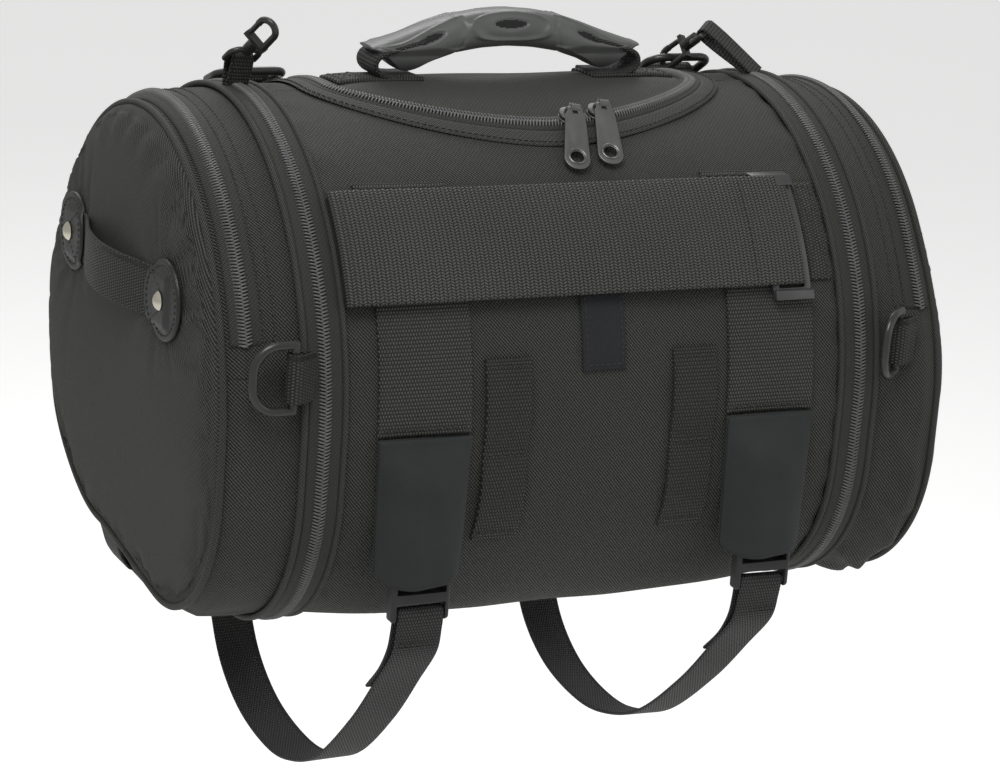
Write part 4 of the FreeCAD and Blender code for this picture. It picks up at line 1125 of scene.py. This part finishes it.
def in_window(x, t):
    return (centre_oval(x, t) < 0.47) | (wing_oval(x, t) < 0.86)


def grip_relief(x, t):
    """Moulded lines and windows on each side of the grip; t runs up the face from its middle."""
    a = np.abs(x)
    oval = np.hypot(x / 23.0, t / 8.6)
    relief = 0.8 * np.exp(-(((oval - 1) / 0.09) ** 2)) - 0.5 * np.clip((1 - oval) / 0.2, 0, 1)
    relief = relief - 1.1 * np.clip((0.52 - centre_oval(x, t)) / 0.1, 0, 1)
    line = 11.5 * np.clip(1 - (a - 27) / 50, 0, 1)
    wing = np.clip((a - 26) / 3, 0, 1) * np.clip((76 - a) / 4, 0, 1)
    relief = relief + 0.9 * wing * np.exp(-(((np.abs(t) - line) / 1.1) ** 2))
    relief = relief - 0.6 * np.exp(-(((a - 26.5 - 0.25 * np.abs(t)) / 1.1) ** 2))
    return relief - 1.3 * np.clip((1 - wing_oval(x, t)) / 0.25, 0, 1)


x = np.linspace(-GRIP_HALF, GRIP_HALF, 200)
turn = np.linspace(0, 2 * math.pi, 128, endpoint=False)
xx, tt = np.meshgrid(x, turn, indexing="ij")
low, top, half = grip_section(xx)
window = np.ones(9) / 9
for table in (low, top, half):
    padded = np.concatenate([table[:1, :]] * 4 + [table] + [table[-1:, :]] * 4)
    table[:] = np.apply_along_axis(lambda c: np.convolve(c, window, "valid"), 0, padded)
roundness = 0.72
cy = -np.sign(np.cos(tt)) * np.abs(np.cos(tt)) ** roundness
cz = np.sign(np.sin(tt)) * np.abs(np.sin(tt)) ** roundness
middle, tall = (low + top) / 2, (top - low) / 2
py, pz = half * cy * (1 - 0.18 * np.maximum(cz, 0)), tall * cz
face_angle = np.where(np.cos(tt) >= 0, tt, math.pi - tt)
face_angle = (face_angle + math.pi) % (2 * math.pi) - math.pi
face_t = (face_angle - 0.30) * 12.5
relief = grip_relief(xx, face_t) * np.clip((GRIP_HALF - np.abs(xx)) / 6, 0, 1)
ny, nz = py / half**2, pz / tall**2
norm = np.hypot(ny, nz) + 1e-9
py, pz = py + relief * ny / norm, middle + pz + relief * nz / norm
below, above = np.minimum(pz - HANDLE_AXIS, 0), np.maximum(pz - HANDLE_AXIS, 0)
room = np.sqrt(np.maximum(HANDLE_SWEEP**2 - below**2, 1)) + 0.57 * above
py = np.clip(py, -room, room)
points, _, uvs = sheet(np.stack([xx, HANDLE_Y + py, pz], -1), xx, face_t)
grip = add_mesh("moulded_grip", points, flipped(tube_faces(*xx.shape)), mat_grip, uvs)
grip.data.materials.append(mat_mesh)
window = in_window(xx, face_t).ravel()
for polygon in grip.data.polygons:
    if len(polygon.vertices) == 4 and all(window[v] for v in polygon.vertices):
        polygon.material_index = 1
attach(grip, "handle", ["handle_grip"])

parts = []
for side, sign in SIDES:
    path = [(-52, 267.6), (-63, 267.6), (-72, 269.2), (-77.2, 273.6), (-76, 279.2), (-67, 283), (-50, 287.5)]
    path = smooth_path([(-sign * px, HANDLE_Y, pz) for px, pz in path], 40)
    parts.append(sweep(path, (0, 1, 0), band(25.4, 3.0)))
bend = ("handle", (0, HANDLE_Y, 268), (0, HANDLE_Y, 277))
piece("handle_web_loops", join(parts), mat_hanging, "lid", ["handle_webbing"], bend,
      merge=MERGE_FINE)


def lid_skin(x, s, h):
    """Padded top of the lid under the tails of the carry handle."""
    return skin(x, s, h + 2.2 * swell((LID_HALF - np.abs(x)) / LID_PADDED))


parts, threads = [], []
tail_s = (s_at_y(HANDLE_Y + HANDLE_HALF), s_at_y(HANDLE_Y - HANDLE_HALF))
for _, sign in SIDES:
    xs = sorted((sign * 50.0, sign * 99.0))
    parts.append(pad(lid_skin, xs, tail_s, 0.0, 2.0, rim=1.0))
    sewn = (tail_s[0] + 2, tail_s[1] - 2)
    end_rear, end_front, in_rear, in_front = ((sign * x, s) for x in (96.0, 84.0) for s in sewn)
    for a, b in ((end_rear, end_front), (in_rear, in_front), (end_rear, in_front), (end_front, in_rear)):
        threads.append(stitch_on(lid_skin, a, b, 2.0))
piece("handle_tails", join(parts), mat_narrow, "lid", ["handle_web_tails"])
piece("handle_tail_stitching", join(threads), mat_stitch, "lid")

# ---- lid sliders and pull tabs -----------------------------------------------------------
SLIDERS = (("left", 13.0, 16.0), ("right", 31.0, 12.0))
CROWN_Z, PULL_LONG, PULL_DROOP = 9.4, 40.0, 17.0


def arc(cx, cy, radius, a0, a1, count=14):
    """Points of an arc; the angles are in degrees."""
    turns = [math.radians(a0 + (a1 - a0) * i / (count - 1)) for i in range(count)]
    return [(cx + radius * math.cos(a), cy + radius * math.sin(a)) for a in turns]


def merged(name, pieces, material):
    """Joins finished mesh objects, already placed by their matrices, into one."""
    whole = bmesh.new()
    for source in pieces:
        part = bmesh.new()
        part.from_mesh(source.data)
        bmesh.ops.transform(part, matrix=source.matrix_world, verts=part.verts)
        moved = bpy.data.meshes.new("part")
        part.to_mesh(moved)
        part.free()
        whole.from_mesh(moved)
        bpy.data.objects.remove(source)
    mesh = bpy.data.meshes.new(name)
    whole.to_mesh(mesh)
    whole.free()
    mesh.materials.append(material)
    mesh.polygons.foreach_set("use_smooth", [True] * len(mesh.polygons))
    made = link(name, mesh)
    shade = made.modifiers.new("edges", "EDGE_SPLIT")
    shade.split_angle = math.radians(40)
    return made


for side, at_x, tilt in SLIDERS:
    share = (1 - (at_x / LID_HALF) ** LID_POWER) ** (1 / LID_POWER)
    at_y = LID_SHOULDER - LID_NOSE * share
    s = s_at_y(at_y)
    foot, above = skin(at_x, s, 0.0), skin(at_x, s, 1.0)
    base = axes_matrix(foot, (-1, 0, 0), above - foot)
    turned = base @ Matrix.Rotation(math.radians(-tilt), 4, "Z")
    deck = arc(1.6, 0, 5.6, -62, 62) + [(-3.4, 5.6), (-5.8, 3.6), (-5.8, -3.6), (-3.4, -5.6)]
    pieces = []
    for height, thick in ((5.6, 1.8), (3.1, 1.7)):
        layer = plate(f"deck_{side}_{height}", [deck], thick, 0.5, mat_zip_metal)
        layer.matrix_world = base @ Matrix.Translation((0, 0, height * MM))
        pieces.append(layer)
    core = plate(f"core_{side}", [arc(0, 0, 2.6, 0, 345, 16)], 3.4, 0.2, mat_zip_metal)
    core.matrix_world = base @ Matrix.Translation((0, 0, 4.3 * MM))
    pieces.append(core)
    rising = [(-4.0, 0, 5.8), (-4.1, 0, 7.9), (-3.0, 0, 9.3)]
    hoop = rising + [(0, 0, 9.5)] + [(-a, b, c) for a, b, c in reversed(rising)]
    wire = sweep(smooth_path(hoop, 30), (0, 1, 0), circle(1.05, 12))
    wire = add_mesh(f"crown_{side}", *wire[:2], mat_zip_metal)
    wire.matrix_world = turned
    pieces.append(wire)
    bpy.context.view_layer.update()
    slider = merged(f"slider_{side}_body", pieces, mat_zip_metal)
    attach(slider, f"slider_{side}", [f"lid_slider_{side}"])

    outer = [(-2.6, -2.3), (2.6, -2.3), (3.6, 2.0), (5.0, 5.0), (6.6, PULL_LONG - 6.5)]
    outer += arc(0, PULL_LONG - 7.0, 6.6, 5, 175, 22) + [(-6.6, PULL_LONG - 6.5), (-5.0, 5.0), (-3.6, 2.0)]
    window = [(-1.7, 1.6), (-1.9, 4.6), (1.9, 4.6), (1.7, 1.6)]
    hole = arc(0, PULL_LONG - 8, 4.0, 0, 352, 26)
    tab = plate(f"tab_{side}", [outer, window, hole], 1.8, 0.45, mat_zip_metal)
    droop = Matrix.Rotation(math.radians(-PULL_DROOP), 4, "X")
    hinge = turned @ Matrix.Translation((0, 0, CROWN_Z * MM)) @ droop
    tab.matrix_world = hinge
    rim = [(a, PULL_LONG - 8 + b, 0.85) for a, b in circle(4.6, 40)]
    lip = add_mesh(f"lip_{side}", *sweep(rim, (0, 0, 1), circle(0.6, 8), closed=True)[:2], mat_zip_metal)
    lip.matrix_world = hinge
    barrel = [(px, 0, 0) for px in np.linspace(-2.4, 2.4, 6)]
    knuckle = add_mesh(f"knuckle_{side}", *sweep(barrel, (0, 1, 0), circle(2.3, 18))[:2], mat_zip_metal)
    knuckle.matrix_world = hinge
    bpy.context.view_layer.update()
    tab = merged(f"pull_tab_{side}", [tab, lip, knuckle], mat_zip_metal)
    attach(tab, f"pull_{side}", [f"lid_pull_tab_{side}"])

# ---- webbing tabs that hold the rings and hooks -------------------------------------------
def loop_tab(bar, bar_axis, away, width, wire, tail, drop=0.0):
    """Webbing folded round a bar: away points from its sewn tail to the bar, drop bends the tail sideways."""
    thick = 1.6
    z = np.array(away, float) / np.linalg.norm(away)
    y = np.cross(z, np.array(bar_axis, float))
    y /= np.linalg.norm(y)
    x = np.cross(y, z)
    r = wire / 2 + 0.35 + thick / 2
    bend = np.linspace(-math.pi / 2, math.pi / 2, 9)
    path = [(-tail, drop - thick / 2), (-tail * 0.6, drop * 0.62 - r * 0.7), (-tail * 0.25, drop * 0.15 - r)]
    path += [(r * math.cos(a), r * math.sin(a)) for a in bend]
    path += [(-tail * 0.25, drop * 0.15 + r), (-tail * 0.6, drop * 0.62 + r * 0.7), (-tail, drop + thick / 2)]
    spots = [np.array(bar, float) + z * a + y * b for a, b in path]
    return sweep(smooth_path(spots, 60), x, band(width, thick))


parts = []
lift = math.radians(31.0)
top_bar = skin(0.0, s_at_y(56.0), 6.1)
for _, sign in SIDES:
    bar = (sign * 129.0, top_bar[1], top_bar[2])
    parts.append(loop_tab(bar, (1, 0, 0), (0, -math.cos(lift), math.sin(lift)), 29.0, 4.6, 24.0, drop=-4.4))
piece("top_ring_webs", join(parts), mat_narrow, "bag", ["top_ring_tabs"])

EYES = {
    # side: eye of the snap hook, hook axis, foot of the webbing tab
    "left": ((-152.0, 4.0, 279.5), (0.2, -0.72, 0.66), (-153.5, 5.0, 264.0)),
    "right": ((132.37, 23.51, 286.66), (-0.39, 0.65, -0.65), (156.0, 6.0, 266.0)),
}
for side, sign in SIDES:
    eye, axis, foot = EYES[side]
    rise = np.array(eye) - np.array(foot)
    parts = [loop_tab((sign * 172.0, -139.5, 152.0), (0, 0, 1), (-1, 0, 0), 25.4, 4.6, 11.0, drop=2.6),
             loop_tab((sign * 176.0, 72.0, -13.0), (0, 1, 0), (-0.64 * sign, 0, -0.77), 25.4, 4.6, 32.0,
                      drop=-7.0 * sign),
             loop_tab(eye, np.cross(axis, rise), rise, 14.0, 3.2, float(np.linalg.norm(rise)) + 1.0)]
    piece(f"{side}_ring_webs", join(parts), mat_narrow, f"{side}_end", [f"{side}_end_tabs"])

# ---- grab handles ------------------------------------------------------------------------
GRAB_Z, PATCH_Y, PATCH_R, PATCH_SEAM, PANEL_X = 174.0, 70.0, 21.0, 17.6, 213.0


def patch_base(y, z, side):
    """Height off the panel of the underside of a leather patch: it rides over the end of the strap."""
    toward = -side * (y - side * PATCH_Y)
    over = ease((15.5 - np.abs(z - GRAB_Z)) / 3.5)
    along = np.clip((toward + 11) / 5, 0, 1)
    return 0.7 + 1.75 * over * along + 0.06 * np.clip(toward - 8, 0, 20) * over


for side, sign in SIDES:
    flap = f"{side}_flap"
    path = [(1.35, -79), (1.35, -64), (1.6, -50), (5.0, -38.5), (10.0, -21), (12.3, 0)]
    path += [(a, -b) for a, b in reversed(path[:-1])]
    path = smooth_path([(sign * (PANEL_X + a), b, GRAB_Z + 0.4 * math.sin(b / 30)) for a, b in path], 90)
    web = sweep(path, (0, 0, 1), band(27.0, 1.8))
    piece(f"{side}_grab_web", web, mat_narrow, flap, [f"{side}_grab_handle"], merge=MERGE_FINE)
    parts, threads = [], []
    for end in (-1, 1):
        near_rim = PATCH_R - np.array([1.7, 0.9, 0.35, 0.0])
        radius = np.concatenate([np.linspace(1.2, PATCH_R - 2.5, 12), near_rim])
        turn = np.linspace(0, 2 * math.pi, 56, endpoint=False)
        rr, aa = np.meshgrid(radius, turn, indexing="ij")
        y, z = end * PATCH_Y + rr * np.cos(aa), GRAB_Z + rr * np.sin(aa)
        under = patch_base(y, z, end)
        rim = round_rim(PATCH_R - rr, 1.6)
        thick = 1.9 * (0.15 + 0.85 * rim) - 0.35 * np.exp(-(((rr - PATCH_SEAM) / 0.8) ** 2))
        face = np.stack([sign * (PANEL_X + under + thick), y, z], -1).reshape(-1, 3)
        back = np.stack([sign * (PANEL_X + under), y, z], -1).reshape(-1, 3)
        rows, cols = rr.shape
        count, last = rows * cols, (rows - 1) * cols
        faces = grid_faces(rows, cols, around=True) + flipped(grid_faces(rows, cols, True, count))
        for a in range(cols):
            b = (a + 1) % cols
            faces += [(a + count, b + count, b, a), (last + a, last + b, last + b + count, last + a + count)]
        uv = np.stack([y, z], -1).reshape(-1, 2)
        parts.append((np.concatenate([face, back]), faces, np.concatenate([uv, uv])))

        def on_patch(py, pz):
            py, pz = np.asarray(py, float), np.asarray(pz, float)
            return np.stack([sign * (PANEL_X + patch_base(py, pz, end) + 1.75), py, pz], -1)

        turn = np.linspace(0, 2 * math.pi, 90)
        outward = np.tile([float(sign), 0.0, 0.0], (90, 1))
        ring_path = on_patch(end * PATCH_Y + PATCH_SEAM * np.cos(turn), GRAB_Z + PATCH_SEAM * np.sin(turn))
        threads.append(stitches(ring_path, outward, pitch=3.2, length=2.2, radius=0.4))
        for rise in (-1, 1):
            t = np.linspace(0, 1, 20)
            line = on_patch(end * (PATCH_Y + 3 - 15 * t), GRAB_Z + rise * (3 + 9.5 * t))
            threads.append(stitches(line, outward[:20], pitch=3.0, length=2.1, radius=0.38))
    piece(f"{side}_leather_patches", join(parts), mat_leather, flap, [f"{side}_grab_patches"],
          merge=MERGE_FINE)
    piece(f"{side}_patch_stitching", join(threads), mat_stitch, flap)

# ---- hanging straps ----------------------------------------------------------------------
STRAP_STEPS = 260
# the strap as (y, z): out of the buckle and over its bar, then down and round to the back
OVER_BAR = [(-113.5, -24), (-127.5, -9.5), (-135.8, 4), (-138.6, 15), (-139.8, 24), (-143, 28.9),
            (-146, 25.5)]
LOOP = [(-145.0, 17), (-140.8, 3), (-122.6, -18.5), (-93, -52), (-51, -89), (-10, -107), (24, -111),
        (62, -105), (92, -88), (110, -62), (120, -30), (124.6, 0), (126.6, 24), (129.0, 38), (131.0, 47),
        (133.6, 60), (136.0, 71)]
for side, sign in SIDES:
    depth = 1.0 if sign < 0 else 0.945
    twist = 0.05 * sign
    path = [(y, z * depth if z < 0 else z) for y, z in OVER_BAR + LOOP]
    t = np.linspace(0, 1, STRAP_STEPS)
    spots = smooth_path([(sign * BUCKLE_X, y, z) for y, z in path], STRAP_STEPS)
    drift = np.sin(t * math.pi) ** 2
    spots[:, 0] += sign * -3.0 * drift
    across = np.stack([np.ones(STRAP_STEPS), twist * np.sin(t * 5.0) * drift * 4, -twist * 2 * drift], -1)
    strap = sweep(spots, across, band(25.0, 1.8))
    bend = (f"{side}_male", (sign * BUCKLE_X, 120.0, 20.0), (sign * BUCKLE_X, -100.0, -30.0))
    piece(f"{side}_hanging_strap", strap, mat_hanging, "bag", [f"{side}_lower_strap"], bend,
          merge=MERGE_FINE)
    run = np.gradient(spots, axis=0)
    outward = np.cross(np.array([1.0, 0, 0]), run)
    outward /= np.linalg.norm(outward, axis=1)[:, None]
    threads = []
    for height in (14.0, 8.5):
        at = np.argmin(np.abs(spots[40:110, 2] - height)) + 40
        row = np.array([spots[at] + [dx, 0, 0] for dx in np.linspace(-11, 11, 14)])
        normal = outward[at] if outward[at][1] < 0 else -outward[at]
        threads.append(stitches(row + normal * 0.95, np.tile(normal, (14, 1)), pitch=2.9, length=2.1))
    piece(f"{side}_strap_stitching", join(threads), mat_stitch, f"{side}_male")

# ---- carried-over CAD nodes --------------------------------------------------------------
for side, sign in SIDES:
    for node in ("top_ring", "side_ring", "rear_ring", "hook_eye", "snap_hook", "hook_gate"):
        paint_node(f"{side}_{node}", mat_ring)
    paint_node(f"{side}_male_buckle", mat_plastic, 0.5)
    paint_node(f"{side}_grab_rivets", mat_rivet)
paint_node("female_buckles", mat_plastic, 0.4)
paint_node("strap_triglide", mat_glide, 0.6)
paint_node("stiffener_boards", mat_board, 0.6)

# ---- stage -------------------------------------------------------------------------------
bpy.ops.mesh.primitive_plane_add(size=30, location=(0, 0, -0.42))
floor = bpy.context.object
floor.name = "floor"
paint = Graph("floor_paint", (0.93, 0.93, 0.925), 0.9)
direct = paint.node("ShaderNodeLightPath").outputs["Is Camera Ray"]
paint.shader.inputs["Emission Color"].default_value = (1.0, 1.0, 1.0, 1)
paint.tree.links.new(paint.math("MULTIPLY", direct, 0.38), paint.shader.inputs["Emission Strength"])
floor.data.materials.append(paint.material)

world = bpy.data.worlds.new("studio")
bpy.context.scene.world = world
world.use_nodes = True
backdrop = world.node_tree.nodes["Background"]
backdrop.inputs[0].default_value = (1.0, 1.0, 1.0, 1)
seen = world.node_tree.nodes.new("ShaderNodeLightPath").outputs["Is Camera Ray"]
level = world.node_tree.nodes.new("ShaderNodeMath")
level.operation = "MULTIPLY_ADD"
level.inputs[1].default_value, level.inputs[2].default_value = 0.62, 0.40
world.node_tree.links.new(seen, level.inputs[0])
world.node_tree.links.new(level.outputs[0], backdrop.inputs[1])


def softbox(name, location, target, size, power):
    light = bpy.data.lights.new(name, "AREA")
    light.shape = "RECTANGLE"
    light.size, light.size_y = size
    light.energy = power
    made = link(name, light)
    made.location = location
    made.rotation_euler = (Vector(target) - Vector(location)).to_track_quat("-Z", "Y").to_euler()


softbox("key", (-0.6, -0.8, 1.7), (0, 0, 0.15), (1.0, 0.8), 15)
softbox("fill", (1.4, -1.2, 0.7), (0, 0, 0.1), (1.0, 1.2), 3)
softbox("rim", (0.2, 1.3, 1.4), (0, 0, 0.2), (1.4, 0.7), 12)

camera = bpy.data.cameras.new("camera")
camera.sensor_width = 36.0
camera.lens = 119.2
camera.shift_x, camera.shift_y = 0.0121, -0.0562
camera.clip_start, camera.clip_end = 0.1, 60.0
viewer = link("camera", camera)
ahead = Vector((0.430, 0.862, -0.267)).normalized()
right = ahead.cross(Vector((0.051, 0.272, 0.961))).normalized()
pose = Matrix((right, right.cross(ahead), -ahead)).transposed().to_4x4()
pose.translation = Vector((-0.77496, -1.55294, 0.61002))
viewer.matrix_world = pose
bpy.context.scene.camera = viewer
bpy.context.scene.view_settings.view_transform = "Standard"
